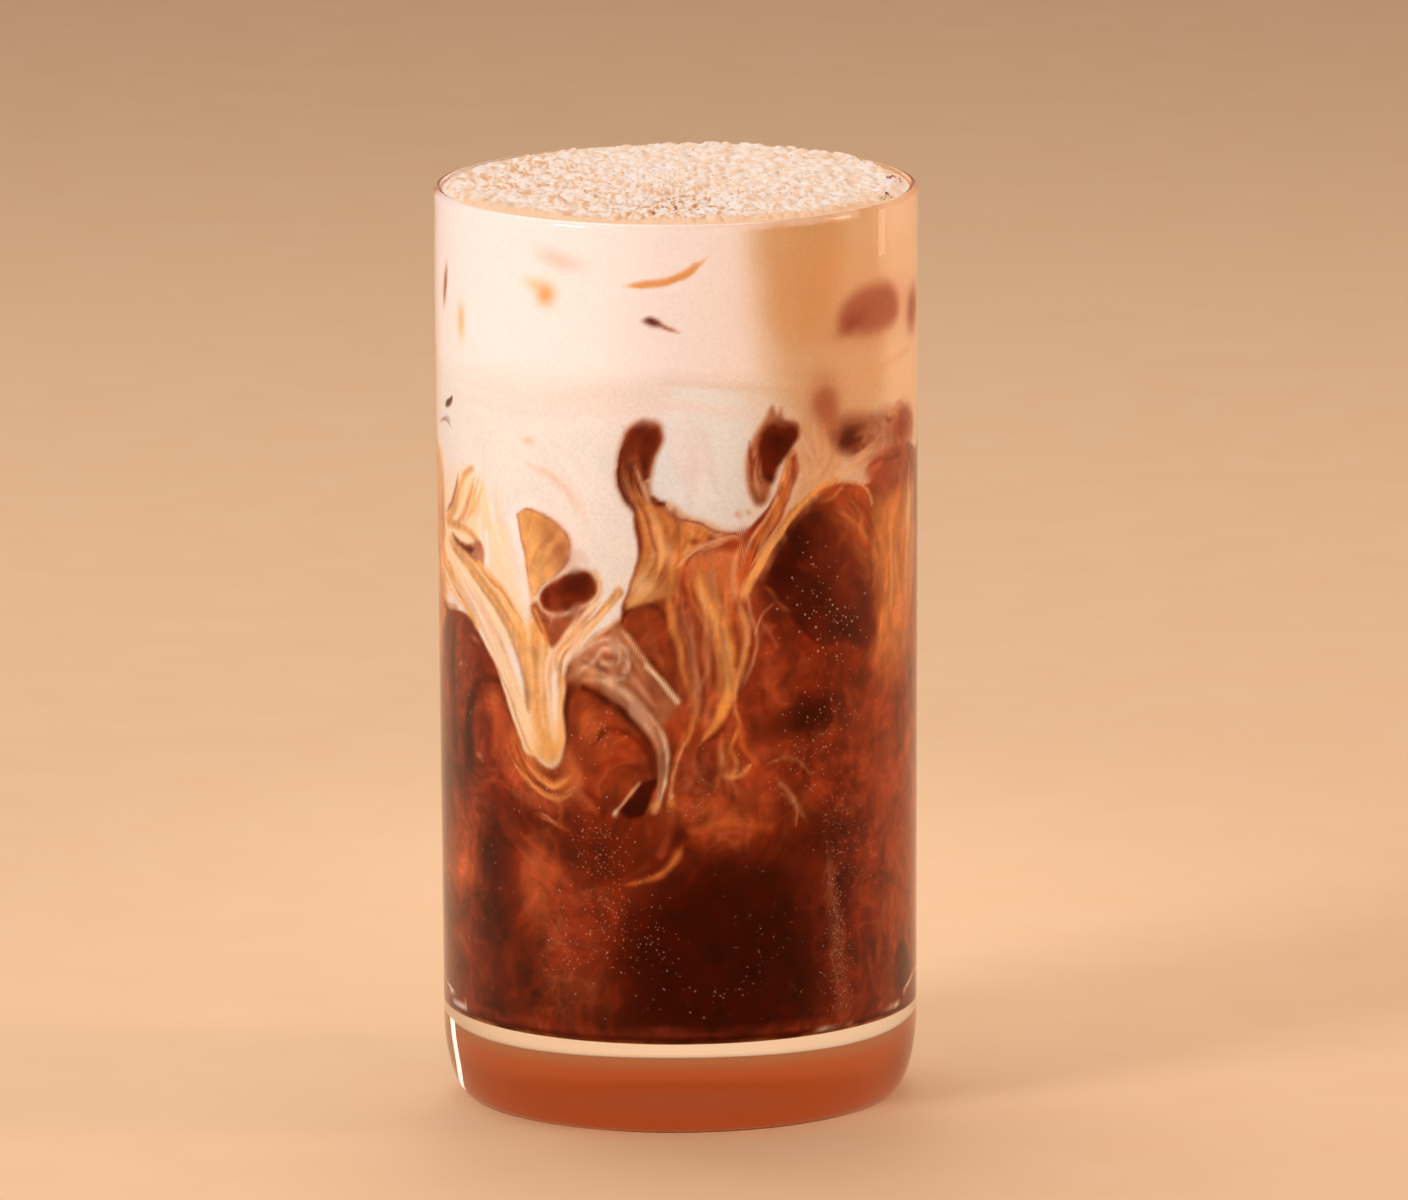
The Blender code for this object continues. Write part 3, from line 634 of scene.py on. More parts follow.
def paint_streams(wall):
    """Upright amber filaments in the middle, an arched pocket at their left and a swirl beyond it."""
    wall.blot("#A8683F", ((-17.4, 70), (-15.4, 74.6), (-11, 78), (-8, 79.6), (-5.4, 76), (-2, 71), (-0.2, 67.6), (-2, 64.4),
                          (-5, 63.6), (-8, 66), (-12, 68.8)), soft=1.8, strength=0.95)
    wall.spot("#D8A87E", -12.4, 72, 3.6, 1.6, tilt=-18, strength=0.85)
    wall.spot("#8A4E38", -4.6, 68.6, 2.2, 3.4, tilt=-42, strength=0.8)
    wall.spot(BROWN, -10.2, 74.4, 1.0, 0.8, strength=0.7)
    wall.curls((TAN, "#7C442C", CREAM, "#C99A78"), -10.2, 74.3, 0.8, 0.5, 9, size=3.0, thin=0.26, strength=0.75)
    wall.sheaf((TAN, CREAM, "#8C5438", "#D0A07A"), (3.4, 2.0),
               ((-16.8, 71.2), (-12, 70.6), (-8.4, 68.4), (-5.2, 65), (-3, 61), (-2.4, 57)), count=13, thin=0.45,
               soft=0.7, strength=0.7)
    wall.line("#E6CDB6", 0.7, ((-17, 72.6), (-14, 75.6), (-10.6, 77), (-8, 75.4), (-7.8, 72.6), (-9.6, 70.8), (-13, 70.4)),
              soft=0.8, strength=0.7, taper=0.15)
    wall.line("#E6CDB6", 0.5, ((-16.6, 70.6), (-13.4, 73), (-11, 75.6), (-9, 75), (-9.4, 73.2), (-11, 73.4)), soft=0.7,
              strength=0.65, taper=0.15)
    wall.line("#6E3A26", 0.6, ((-15.8, 73.6), (-12.6, 72.4), (-8.8, 71.6), (-6, 72.6)), soft=0.9, strength=0.6, taper=0.2)
    wall.sheaf((TAN, BROWN, "#B8866A"), 2.2, ((-8.4, 75.4), (-6.6, 71.4), (-4, 67.6), (-1.4, 63.6)), count=8, thin=0.4,
               soft=0.7, strength=0.55)
    wall.blot("#96401F", ((-8.3, 79), (-7.6, 81), (-5.2, 82.3), (-2.6, 81.6), (-1.3, 79.6), (-0.5, 76), (-0.1, 71.8),
                          (-0.8, 69), (-3.2, 72.2), (-6, 76)), soft=0.7)
    wall.line(DARK, 0.4, ((-8.4, 78.8), (-7.6, 81.1), (-5.2, 82.4), (-2.5, 81.6), (-1.4, 79.4)), soft=0.6, strength=0.8,
              taper=0.15)
    wall.sheaf(("#B8683C", BROWN, "#A85A38"), 3.6, ((-5.8, 81), (-4.6, 77.4), (-2.6, 73.4), (-0.8, 70)), count=9, thin=0.3,
               strength=0.6)
    wall.line(BROWN, 0.4, ((-7.6, 78.6), (-5.2, 75.4), (-2.6, 72), (-0.2, 69)), soft=0.5, strength=0.7)
    wall.line("#E8BE92", 0.5, ((-8.4, 78.4), (-5.6, 74.7), (-3, 71.3), (-0.2, 67.9)), soft=0.6, taper=0.1)
    wall.line(CREAM, (0.4, 0.7), ((-4.8, 73), (-2, 70.2), (0, 67.5)), soft=0.5)
    wall.blot("#D4824C", ((1.6, 88.4), (2.4, 82), (3.4, 76), (4.4, 70), (3.2, 64), (7.4, 65), (9.6, 71), (10.6, 77),
                          (9.4, 84), (8.6, 90), (5, 90.4)), soft=1.6, strength=0.85)
    for colour, width, strength, soft, points in (
        ("#C88C5C", 3.6, 0.7, 2.2, ((5.4, 88), (6.2, 82), (7.8, 77.6))),
        (AMBER, (1.2, 0.5), 0.85, 0.8, ((-2, 84), (-0.9, 81), (-0.4, 77), (1, 72), (2.2, 67.6), (1.6, 63), (0.2, 59.6))),
        ("#84391C", 1.0, 0.7, 1.1, ((0.6, 86.6), (0.8, 80.6), (2.2, 75.2), (3.6, 70.6), (3.2, 65))),
        (BRICK, 1.4, 0.6, 1.3, ((2, 86), (3.4, 79), (4.8, 74), (5.4, 69), (4.6, 63))),
        ("#EBA854", (0.8, 3.0), 0.95, 1.0, ((3.0, 87.8), (3.5, 84.9), (4.8, 81.7), (6.1, 78.9), (7, 76.2), (7.5, 73))),
        ("#EBA854", (3.0, 0.8), 0.9, 1.2, ((7.2, 75), (7.6, 71.4), (6.9, 67.6), (5.6, 64.4), (3.4, 61.2))),
        (GOLD, (0.3, 1.2), 0.8, 0.7, ((3.4, 86), (4.2, 82.8), (5.6, 79.6), (6.7, 77), (7.3, 74))),
        ("#F2BE80", (1.4, 0.4), 0.8, 1.0, ((7.2, 75), (7.7, 71.6), (7.2, 67.6))),
        (GLOW, 1.3, 0.7, 1.1, ((6.2, 89), (6.8, 84.6), (8.2, 80.4), (8.4, 76))),
        ("#D9A06C", (0.7, 1.1), 0.9, 0.7, ((10, 92), (8.7, 89.4), (8.4, 86), (9.3, 82), (10.4, 78.6), (10.2, 75))),
        (HONEY, (0.9, 0.4), 0.85, 0.7, ((10.2, 76.6), (9.6, 72.6), (8.6, 68.6), (8.2, 65))),
        (BRICK, 0.8, 0.6, 1.0, ((9.2, 84), (8.6, 80), (9, 76), (8.8, 72))),
        (TAN, 0.5, 0.7, 0.7, ((10.6, 84), (11, 80), (12, 77), (11.2, 73), (9.6, 69.6))),
        (BROWN, 0.7, 0.6, 0.9, ((9.8, 70), (8.2, 66.6), (6.6, 63.4), (4, 61))),
    ):
        wall.line(colour, width, points, soft=soft, strength=strength, taper=0.08)
    wall.sheaf(("#EDB060", "#7E2C12", TAN, "#C47C44", "#A85A30", HONEY), (7.5, 8.0),
               ((4.4, 89), (5.2, 83), (6, 77), (6.4, 71), (4.6, 64)), count=13, thin=0.4, soft=0.7, strength=0.55)
    wall.sheaf((TAN, BRICK, AMBER), 3.0, ((0, 86), (0.8, 80), (2, 73), (3, 66), (1.6, 60)), count=8, thin=0.4, soft=0.8,
               strength=0.5)
    wall.blot("#9A4526", ((12.6, 85.2), (14.8, 82.8), (12.4, 79.8), (11.2, 82), (11.4, 84.2)), soft=0.7, strength=0.9)
    wall.line(TAN, 0.32, ((12.6, 85.6), (14.9, 82.8), (12.8, 80.2), (11.6, 77.6)), soft=0.45, strength=0.75)
    wall.line(TAN, 0.26, ((12.2, 79.6), (14, 77.8), (15.4, 75.6)), soft=0.5, strength=0.5)
    wall.curls((BROWN, "#B8603A", DUSTY, DARK, GLOW), 14.4, 74, 4.4, 6, 12, size=2.8, strength=0.35)
    wall.spot(TAN, 12.6, 86.4, 0.35, 0.7, strength=0.7)


def paint_stem(wall):
    """The tan stem under the swirl, dark arches beside it and thin wisps in the lower coffee."""
    wall.blot("#8C3818", ((-17.4, 66), (-15.6, 69), (-11.6, 67.6), (-7.6, 64.6), (-4, 61.4), (-3.4, 56), (-7, 52),
                          (-14, 54), (-17, 60)), soft=1.2, strength=0.9)
    wall.spot("#B4592C", -13.6, 63.4, 2.4, 3, strength=0.7)
    wall.curls((GLOW, BROWN, "#B8643C", DARK), -11.6, 61, 4.6, 5, 12, size=2.6, strength=0.38)
    wall.line(DARK, 1.0, ((-17.2, 62), (-17.2, 66.8), (-15.4, 69.2), (-12, 68), (-8, 65.2), (-5.2, 62.2),
                          (-3.6, 59)), soft=0.9, strength=0.9, taper=0.15)
    wall.line(DARK, 0.9, ((-13.6, 60.4), (-10.6, 63), (-7, 62.2), (-4.6, 59.6), (-3.8, 56)), soft=0.8, strength=0.7,
              taper=0.2)
    wall.line(BROWN, 1.2, ((-13, 57), (-9.4, 58.4), (-5.6, 56.6)), soft=1.2, strength=0.6)
    wall.line("#D0A080", (2.2, 0.9), ((-6.6, 66.4), (-4.4, 64), (-2.6, 60.6), (-2.4, 56.4), (-3, 52.8), (-3.8, 50.4)),
              soft=0.8, strength=0.85)
    wall.sheaf((CREAM, "#9A5C3C", TAN, RUST), (3.0, 1.2), ((-6.4, 66.2), (-3.6, 62.6), (-2.2, 57.6), (-2.8, 53),
                                                           (-3.6, 50.4)), count=12, thin=0.26, strength=0.7)
    wall.line(GLOW, 0.8, ((0.6, 62.6), (-0.4, 58.6), (-1.2, 54), (-1.6, 51)), soft=0.8, strength=0.8)
    wall.line(TAN, 0.35, ((0.6, 61), (-0.9, 56), (-1.3, 52.6)), soft=0.5, strength=0.75)
    wall.spot(AMBER, -4.0, 51.2, 0.8, 0.9, tilt=-20, strength=0.8)
    wall.spot(AMBER, -1.2, 51.5, 0.7, 0.8, strength=0.7)
    wall.spot(CREAM, -1.1, 52.7, 0.35, 0.3, strength=0.8)
    wall.line(RUST, 1.4, ((-1.4, 50.4), (-1.4, 47), (-3, 44)), soft=1.1, strength=0.7)
    wall.line(GLOW, (1.6, 0.5), ((0.7, 45.6), (-1.4, 42.2), (-4.4, 40.2), (-8.4, 39.2)), soft=0.9, strength=0.85,
              taper=0.15)
    wall.line(AMBER, 0.3, ((0.5, 45.2), (-1.8, 41.8), (-5, 40)), soft=0.5, strength=0.6, taper=0.2)
    wall.blot(BLACK, SMALL_ICE, soft=0.8, strength=0.9)
    wall.line(TAN, 0.4, ((-10, 50.1), (-8, 52.5), (-6, 54.8)), soft=0.45, strength=0.85)
    wall.spot(CREAM, -9.8, 50.2, 0.4, 0.35, strength=0.9)
    wall.spot(DARK, 0.2, 46.6, 1.6, 1.6, strength=0.8)
    wall.line(AMBER, (0.5, 0.9), ((8.6, 65.6), (9, 63), (8.1, 60.4), (9, 58), (8.3, 56.2)), soft=0.6, strength=0.8)
    wall.line(GLOW, 0.9, ((9, 64), (10, 60.4), (11.8, 57.6)), soft=0.9, strength=0.7)
    wall.line(HONEY, 0.45, ((6.7, 56.5), (8.4, 55.9), (10, 56.3), (11.2, 57.5)), soft=0.5, strength=0.85, taper=0.1)
    wall.sheaf((AMBER, BROWN, TAN, RUST), (5, 7), ((6, 64), (6.4, 60), (7.4, 56), (8, 51)), count=10, thin=0.4,
               soft=0.9, strength=0.45)
    wall.curls((GLOW, BROWN, "#C27650", DARK, TAN), 9, 54, 9, 5.4, 20, size=3.0, thin=0.28, strength=0.34)
    wall.curls(("#B4663C", BROWN, DUSTY, DARK), 24, 57, 9, 8, 20, size=3.2, thin=0.28, strength=0.32)
    wall.curls(("#A85A3C", DARK, DUSTY), 34, 40, 7, 7, 14, size=3.0, thin=0.3, strength=0.32)
    wall.line(GLOW, 1.2, ((2, 47.4), (6, 48.6), (10, 48.2), (14, 47.6)), soft=1.4, strength=0.5)
    wall.line(TAN, 0.3, ((13.4, 57), (16.4, 58), (19, 57), (21.6, 54.6)), soft=0.5, strength=0.6, taper=0.15)
    wall.sheaf((TAN, DUSTY, BROWN), 2.4, ((14.6, 54.6), (17.2, 52.6), (18.8, 50), (20.6, 46.6)), count=8, thin=0.26,
               strength=0.65)
    wall.line("#D89A74", 0.45, ((15, 54.6), (17.2, 52.6), (18.6, 50), (18.3, 47)), soft=0.5, strength=0.7, taper=0.1)
    wall.sheaf(("#8A4E38", "#8E4E3A", DARK, "#A06A56"), (2.2, 4.0), ((24.4, 47), (24.8, 40), (25.8, 31), (27, 24), (28, 17)),
               count=12, thin=0.4, soft=0.8, strength=0.5)
    wall.line("#7A4030", (1.0, 3.4), ((24.6, 36), (25.6, 30), (26.8, 24), (27.6, 17.4)), soft=2.4, strength=0.6)
    wall.sheaf((RUST, DARK, BRICK), 10, ((34, 33), (35, 25), (36, 17)), count=12, thin=0.5, soft=0.9, strength=0.5)
    wall.sheaf(("#E0A068", "#B86A38", CREAM), (12, 12), ((42, 99), (42.6, 88), (42, 78), (40, 68)), count=18, thin=0.5,
               soft=0.9, strength=0.45)
    wall.blot(DARK, SIDE_ICE, soft=1.4, strength=0.85)
    wall.curls(("#B4562E", BROWN, DUSTY), -20, 36, 5, 9, 12, size=2.6, thin=0.3, strength=0.3)
    wall.curls(("#B4562E", BROWN, "#C0714C"), -43, 36, 6, 8, 10, size=2.6, thin=0.3, strength=0.3)
    wall.line(BROWN, 0.9, ((-26, 44), (-27, 38), (-26.4, 31), (-23, 27)), soft=1.2, strength=0.5)


def paint_ice(wall):
    """The big cube's face against the glass: near-black, softer and browner towards its right."""
    wall.blot(BRICK, BIG_ICE, soft=2.4, grow=0.7, strength=0.7)
    wall.blot("#62200E", BIG_ICE, soft=0.5, strength=0.97)
    wall.line("#80401F", (1.4, 4.6), ((21.6, 97), (25.6, 93.6), (29.6, 89), (32.8, 84.6), (34.6, 80)), soft=2.6,
              strength=0.75)
    for colour, s, z, across, up, tilt, strength, edge in (
        (BLACK, 17.6, 88, 3.4, 6.4, -28, 0.7, 1.5), (BLACK, 21.4, 82, 4.4, 6, -30, 0.5, 1.2),
        (BLACK, 26.4, 78, 4.0, 3.4, -30, 0.5, 1.2), (DARK, 31, 77, 3, 4, 0, 0.7, 1), (BLACK, 15.4, 86.6, 1.8, 1.6, 0, 0.6, 1),
        ("#6E2A14", 22.6, 90.6, 1.8, 3.0, -30, 0.55, 1), ("#6E2A14", 26.6, 84, 1.6, 3.4, -20, 0.4, 1),
        ("#64240F", 19.6, 84.6, 0.9, 2.4, -40, 0.4, 1), ("#6A2C18", 29.4, 80.6, 1.2, 2.2, 10, 0.4, 1),
    ):
        wall.spot(colour, s, z, across, up, tilt, strength, edge)
    wall.curls((BROWN, BLACK, "#7A3A22"), 22, 85, 6, 7, 12, size=2.0, thin=0.3, strength=0.35)
    wall.line(BLACK, 0.5, BIG_ICE[4:14], soft=0.7, strength=0.6)
    wall.line(HONEY, (0.4, 1.3), ((25.4, 100), (20.6, 97.8), (16.9, 94), (13.4, 90), (11.4, 86.8)), soft=0.5)
    wall.line("#B8683A", 0.5, ((12.4, 86.2), (13.6, 84.8), (15.6, 81.9), (17.4, 80.4)), soft=0.6, strength=0.8, taper=0.2)


def paint_foam(wall):
    """Marks in the foam: an amber crescent, a few soft brown spots and slivers, a faint line at its foot, a painted
    highlight along its top under the rim and a painted amber glow at its left edge.
    """
    wall.line(WHITE, 1.0, ((-9, 130.8), (-3, 131), (1, 132), (5, 134.4)), soft=0.9, strength=0.6)
    wall.line("#E8A868", (1.2, 0.7), ((-8, 131.6), (-4, 131.9), (0, 132.9), (4.6, 135.6)), soft=0.7, taper=0.2)
    wall.line(AMBER, 0.5, ((-7, 131.3), (-3, 131.6), (1, 132.9), (4, 135)), soft=0.5, strength=0.8, taper=0.2)
    for colour, s, z, across, up, tilt, strength, edge in (
        (AMBER, -20.3, 129.4, 1.4, 1.6, -20, 0.85, 1), (HONEY, -22, 130.4, 2.2, 0.9, -20, 0.5, 1),
        ("#EBD3C4", -18, 135, 3.4, 1.4, -15, 0.95, 1), ("#5A1E0C", -3.6, 126.1, 1.4, 0.62, -12, 1.0, 1.6), ("#8A3A1C", -1.6, 125.4, 1.5, 0.3, -24, 0.8, 1.2),
        (DUSTY, -45.2, 127.5, 0.8, 2.9, -14, 0.95, 1.5), (HONEY, -39.4, 122.8, 1.1, 2.4, 0, 0.75, 1),
        (BLACK, -44.6, 109.2, 1.5, 0.6, 22, 1.0, 2), (BLACK, -43.4, 110, 0.8, 0.35, 40, 0.9, 2),
        ("#D6A088", 35, 124.4, 9.0, 4.2, 6, 0.6, 1.5), ("#9E4C34", 48.4, 123, 3.4, 3.6, -8, 0.9, 1.4),
        ("#B87A5C", 24.4, 110.6, 2.0, 4.0, 8, 0.65, 1), ("#A8583C", 37, 101, 5, 2.4, 0, 0.6, 1),
    ):
        wall.spot(colour, s, z, across, up, tilt, strength, edge)
    wall.blot("#A8604A", ((25.9, 124.4), (27.5, 126.8), (32, 128.6), (38.4, 128.6), (41, 125.3), (39.6, 122.2), (32.4, 121.8),
                          (28, 122.6)), soft=3.4, strength=0.85)
    wall.spot("#8E4630", 29, 123.8, 3.2, 1.3, tilt=20, strength=0.7)
    wall.line(GLOW, 0.3, ((-3, 126), (-1.4, 125.4), (0.4, 124.6)), soft=0.5, strength=0.6, taper=0.2)
    # Painted highlight: a white line at the top of the foam, seen through the rim as the rim's bright edge.
    wall.line(WHITE, 1.6, ((-55, 140.6), (-20, 140.6), (0, 140.6), (30, 140.6)), soft=0.8, strength=0.9)
    wall.line(LILAC, 1.2, ((-52, 106), (-47, 106.8), (-42, 106.4)), soft=0.8, strength=0.9)
    wall.sheaf((DUSTY, "#8C8684", LILAC), 1.6, ((-50, 105), (-46, 106.6), (-41.6, 106)), count=6, thin=0.25, strength=0.5)
    wall.line("#E6C3A6", 0.9, ((-2, 116.8), (10, 115.8), (22, 115), (34, 115.6), (46, 117)), soft=1.8, strength=0.4)
    # Painted light: an amber glow along the foam's far left edge.
    wall.spot(GLOW, -55, 136, 3.0, 7, strength=0.55)
    wall.spot(HONEY, -54, 118, 3, 9, strength=0.5)
    wall.sheaf(("#F0DDCE", WHITE, "#F2E2D6"), 8, ((-50, 112), (-25, 111), (0, 113.6), (24, 113)), count=14, thin=1.2, soft=1.6,
               strength=0.3)


def paint_edges(wall):
    """The foot of the drink, where coffee glows red-brown in the corner of the glass, with bright glints."""
    wall.line(BRICK, 1.4, ((-60, 16.6), (-20, 16.0), (20, 16.0), (60, 16.6)), soft=1.2, strength=0.75)
    wall.line(DARK, 0.8, ((-60, 15.2), (0, 15.0), (60, 15.2)), soft=0.6, strength=0.8)
    wall.line(AMBER, 1.8, ((-60, 13.4), (0, 13.4), (60, 13.4)), soft=1.0, strength=0.95)
    for points in (
        ((-52, 18.4), (-46, 17.2), (-41, 16.4)), ((-50, 16.4), (-45, 15.6), (-38, 15.2)), ((34, 15.2), (40, 15.6), (46, 16.6)),
        ((43, 17.2), (47, 18.2), (52, 19.6)), ((21, 14.8), (26, 14.9), (30, 15)),
    ):
        wall.line(WHITE, 0.5, points, soft=0.4, strength=0.95, taper=0.35)


PAINTERS = (
    paint_grounds, paint_left_fan, paint_left_pocket, paint_finger, paint_islands, paint_lobe,
    paint_amber_gap, paint_right_stream, paint_streams, paint_stem, paint_ice, paint_foam, paint_edges,
)


def paint(points):
    """Linear colours for points in millimetres on the drink's side.

    The back is the front's loose mirror image about wavy upright lines at the sides, with plainer foam.
    """
    s = UNROLL_RADIUS * np.arctan2(points[:, 0], -points[:, 1])
    z = points[:, 2]
    side, away = np.sign(s), np.abs(s)
    fold_at = QUARTER_TURN + 1 + 5 * np.sin(z / 6.5 + 1.4 * side)
    past = np.clip((away - fold_at) / (HALF_TURN - fold_at), 0, 1)
    folded = np.where(away > fold_at, side * fold_at * (1 - past), s)
    loose = ease((away - fold_at) / 20)
    s_drift = 0.35 * noise(points, 4.0, 1) + 0.16 * fractal(points, 1.3, 11) + 5.0 * loose * noise(points, 24.0, 2)
    z_drift = 0.35 * noise(points, 4.0, 5) + 0.16 * fractal(points, 1.3, 15) + 5.0 * loose * noise(points, 24.0, 6)
    z_drift -= 7 * side * np.sin(math.pi * past) ** 2 * ease((z - 17) / 16) * ease((138 - z) / 12)
    wall = Wall(folded + s_drift, z + z_drift)
    for painter in PAINTERS:
        painter(wall)
    wall.rgb += (srgb("#F4E4D0") - wall.rgb) * (0.85 * loose * ease((z - 110) / 8))[:, None]
    return linear(shade_variation(wall.rgb, points))


def shade_variation(rgb, points):
    """Marbled clouds and thin pale wisps in the coffee, which fade out in the milk and in the blackest coffee."""
    light = rgb.mean(axis=1)
    darkness = np.clip(1.2 - 1.45 * light, 0, 1)
    fold = np.stack([noise(points, 7.0, seed) for seed in (41, 42, 43)], axis=-1)
    folded = points + 3.4 * fold
    marble = fractal(folded, 4.2, 47)
    mottle = fractal(points, 1.9, 31, 2)
    streak = fractal(folded * np.array([1, 1, 0.22]), 1.5, 67, 2)
    thread = np.clip(1 - 4.5 * np.abs(fractal(folded + 0.8 * fold, 1.9, 83, 2)), 0, 1) - 0.35
    wisp = np.clip(1 - 5.5 * np.abs(fractal(folded + 1.2 * fold, 3.4, 57)), 0, 1)
    below_foam = ease((112 - points[:, 2]) / 8)
    middling = ease((light - 0.12) / 0.15) * ease((0.86 - light) / 0.15) * below_foam
    clouds = (0.40 * marble + 0.18 * mottle + 0.20 * thread) * (0.04 + darkness**1.3) * (0.25 + 0.75 * below_foam)
    rgb = rgb * (1 + clouds + 0.12 * streak * middling)[:, None]
    pale = 0.20 * wisp * darkness * ease((light - 0.10) / 0.16) * ease(0.5 + 1.5 * marble)
    return np.clip(rgb + (srgb(TAN) - rgb) * pale[:, None], 0, 1)


def new_piece(name, points, faces, replaced=None, colours=None):
    """A smooth-shaded mesh object from millimetre points, riding on the glass's body."""
    mesh = bpy.data.meshes.new(name)
    mesh.from_pydata((np.asarray(points) * MM).tolist(), [], [tuple(face) for face in faces])
    mesh.validate()
    mesh.shade_smooth()
    mesh.set_sharp_from_angle(angle=math.radians(SHARP_DEGREES))
    if colours is not None:
        layer = mesh.color_attributes.new("paint", "FLOAT_COLOR", "POINT")
        rgba = np.ones((len(points), 4), np.float32)
        rgba[:, :3] = colours
        layer.data.foreach_set("color", rgba.ravel())
    piece = bpy.data.objects.new(name, mesh)
    bpy.context.scene.collection.objects.link(piece)
    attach(piece, "root")
    if replaced:
        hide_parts(replaced)
    return piece


def ring_faces(count, rings, first_centre, last_centre):
    """Faces of a stack of closed rings, with a fan at each end round two extra points."""
    i = np.arange(count)
    j = (i + 1) % count
    faces = []
    for row in range(rings - 1):
        a, b = row * count, (row + 1) * count
        faces.append(np.stack([a + i, a + j, b + j, b + i], axis=-1))
    quads = np.concatenate(faces).tolist()
    top = (rings - 1) * count
    fans = np.stack([j, i, np.full(count, first_centre)], axis=-1).tolist()
    fans += np.stack([top + i, top + j, np.full(count, last_centre)], axis=-1).tolist()
    return quads + fans


def columns():
    """Arc lengths round the drink, closer together at the front."""
    front = np.arange(-QUARTER_TURN, QUARTER_TURN, FRONT_STEP)
    back = np.arange(QUARTER_TURN, 3 * QUARTER_TURN - BACK_STEP / 2, BACK_STEP)
    return np.concatenate([front, back])


MILK_EDGE = (
    (-90, 79), (-69, 76), (-59, 77), (-51, 71), (-44, 65), (-39, 59), (-33, 56), (-28, 61), (-24, 71),
    (-18, 75), (-14, 80), (-6, 87), (2, 94), (14, 94), (18, 86), (24, 91), (33, 97), (44, 100), (54, 98),
    (62, 101), (74, 102), (90, 84),
)
MILK_EDGE_MEAN = 84.0
FINGER_POWER = 1.5


def milk_edge(s):
    """Height of the milk's lower edge at the wall, as the solids have it."""
    angle = (np.degrees(s / UNROLL_RADIUS) + 90) % 360 - 90
    angle = np.minimum(angle, 180 - angle)
    knots = np.array(MILK_EDGE, float)
    k = np.clip(np.searchsorted(knots[:, 0], angle) - 1, 0, len(knots) - 2)
    a, b = knots[k], knots[k + 1]
    return a[:, 1] + (b[:, 1] - a[:, 1]) * ease((angle - a[:, 0]) / (b[:, 0] - a[:, 0]))


def milk_floor(s, reach):
    return MILK_EDGE_MEAN + (milk_edge(s) - MILK_EDGE_MEAN) * reach**FINGER_POWER


def foam_floor(s):
    turn = s / UNROLL_RADIUS
    return FOAM_FLOOR_Z + 0.7 * (np.sin(2 * turn) + 0.5 * np.cos(3 * turn))


def drink_radius(z):
    """Just into the wall, so that no air shows between the drink and the glass."""
    return inner_radius(z) + REACH


def side_rings(s, low, high, rows):
    rings = []
    for i in range(rows + 1):
        z = low + (high - low) * i / rows
        rings.append(on_wall(s, z, drink_radius(z)))
    return rings


def make_coffee(finish):
    s = columns()
    rings = []
    centre_z = FLOOR_Z - REACH
    fillet_z = FLOOR_Z + FLOOR_FILLET
    fillet_radius = inner_radius(fillet_z) - FLOOR_FILLET
    for share in (0.25, 0.5, 0.75):
        rings.append(on_wall(s, np.full(len(s), centre_z), fillet_radius * share))
    bend = FLOOR_FILLET + REACH
    for i in range(6):
        turn = math.radians(15 * i)
        z = np.full(len(s), fillet_z - bend * math.cos(turn))
        rings.append(on_wall(s, z, fillet_radius + bend * math.sin(turn)))
    rings += side_rings(s, np.full(len(s), fillet_z), milk_floor(s, 1.0), 210)
    for reach in (0.75, 0.5, 0.25):
        z = milk_floor(s, reach)
        rings.append(on_wall(s, z, drink_radius(z) * reach))
    return stack_piece("coffee_body", rings, centre_z, MILK_EDGE_MEAN, "coffee", finish)


def make_milk(finish):
    s = columns()
    rings = []
    for reach in (0.25, 0.5, 0.75):
        z = milk_floor(s, reach)
        rings.append(on_wall(s, z, drink_radius(z) * reach))
    rings += side_rings(s, milk_floor(s, 1.0), foam_floor(s), 164)
    for reach in (0.66, 0.33):
        rings.append(on_wall(s, np.full(len(s), FOAM_FLOOR_Z), drink_radius(FOAM_FLOOR_Z) * reach))
    return stack_piece("milk_body", rings, MILK_EDGE_MEAN, FOAM_FLOOR_Z, "milk", finish)


def stack_piece(name, rings, first_z, last_z, node, finish):
    points = np.concatenate([*rings, [[0, 0, first_z], [0, 0, last_z]]])
    faces = ring_faces(len(rings[0]), len(rings), len(points) - 2, len(points) - 1)
    piece = new_piece(name, points, faces, node, paint(points))
    piece.data.materials.append(finish)
    return piece


def foam_bubbles(points, size, seed):
    """Height from 0 to 1 of domes packed side by side, and each dome's own random value."""
    cell = np.floor(points / size).astype(np.int64)
    best = np.full(len(points), 9.0)
    tone = np.zeros(len(points))
    for dx in (-1, 0, 1):
        for dy in (-1, 0, 1):
            near = np.zeros((len(points), 3), np.int64)
            near[:, 0] = cell[:, 0] + dx
            near[:, 1] = cell[:, 1] + dy
            jitter = np.stack([lattice(near, seed), lattice(near, seed + 1)], axis=-1)
            centre = (near[:, :2] + 0.15 + 0.7 * jitter) * size
            radius = size * (0.45 + 0.35 * lattice(near, seed + 2))
            d = np.hypot(*(points - centre).T) / radius
            closer = d < best
            best = np.where(closer, d, best)
            tone = np.where(closer, lattice(near, seed + 3), tone)
    return np.sqrt(np.clip(1 - best**2, 0, 1)), tone


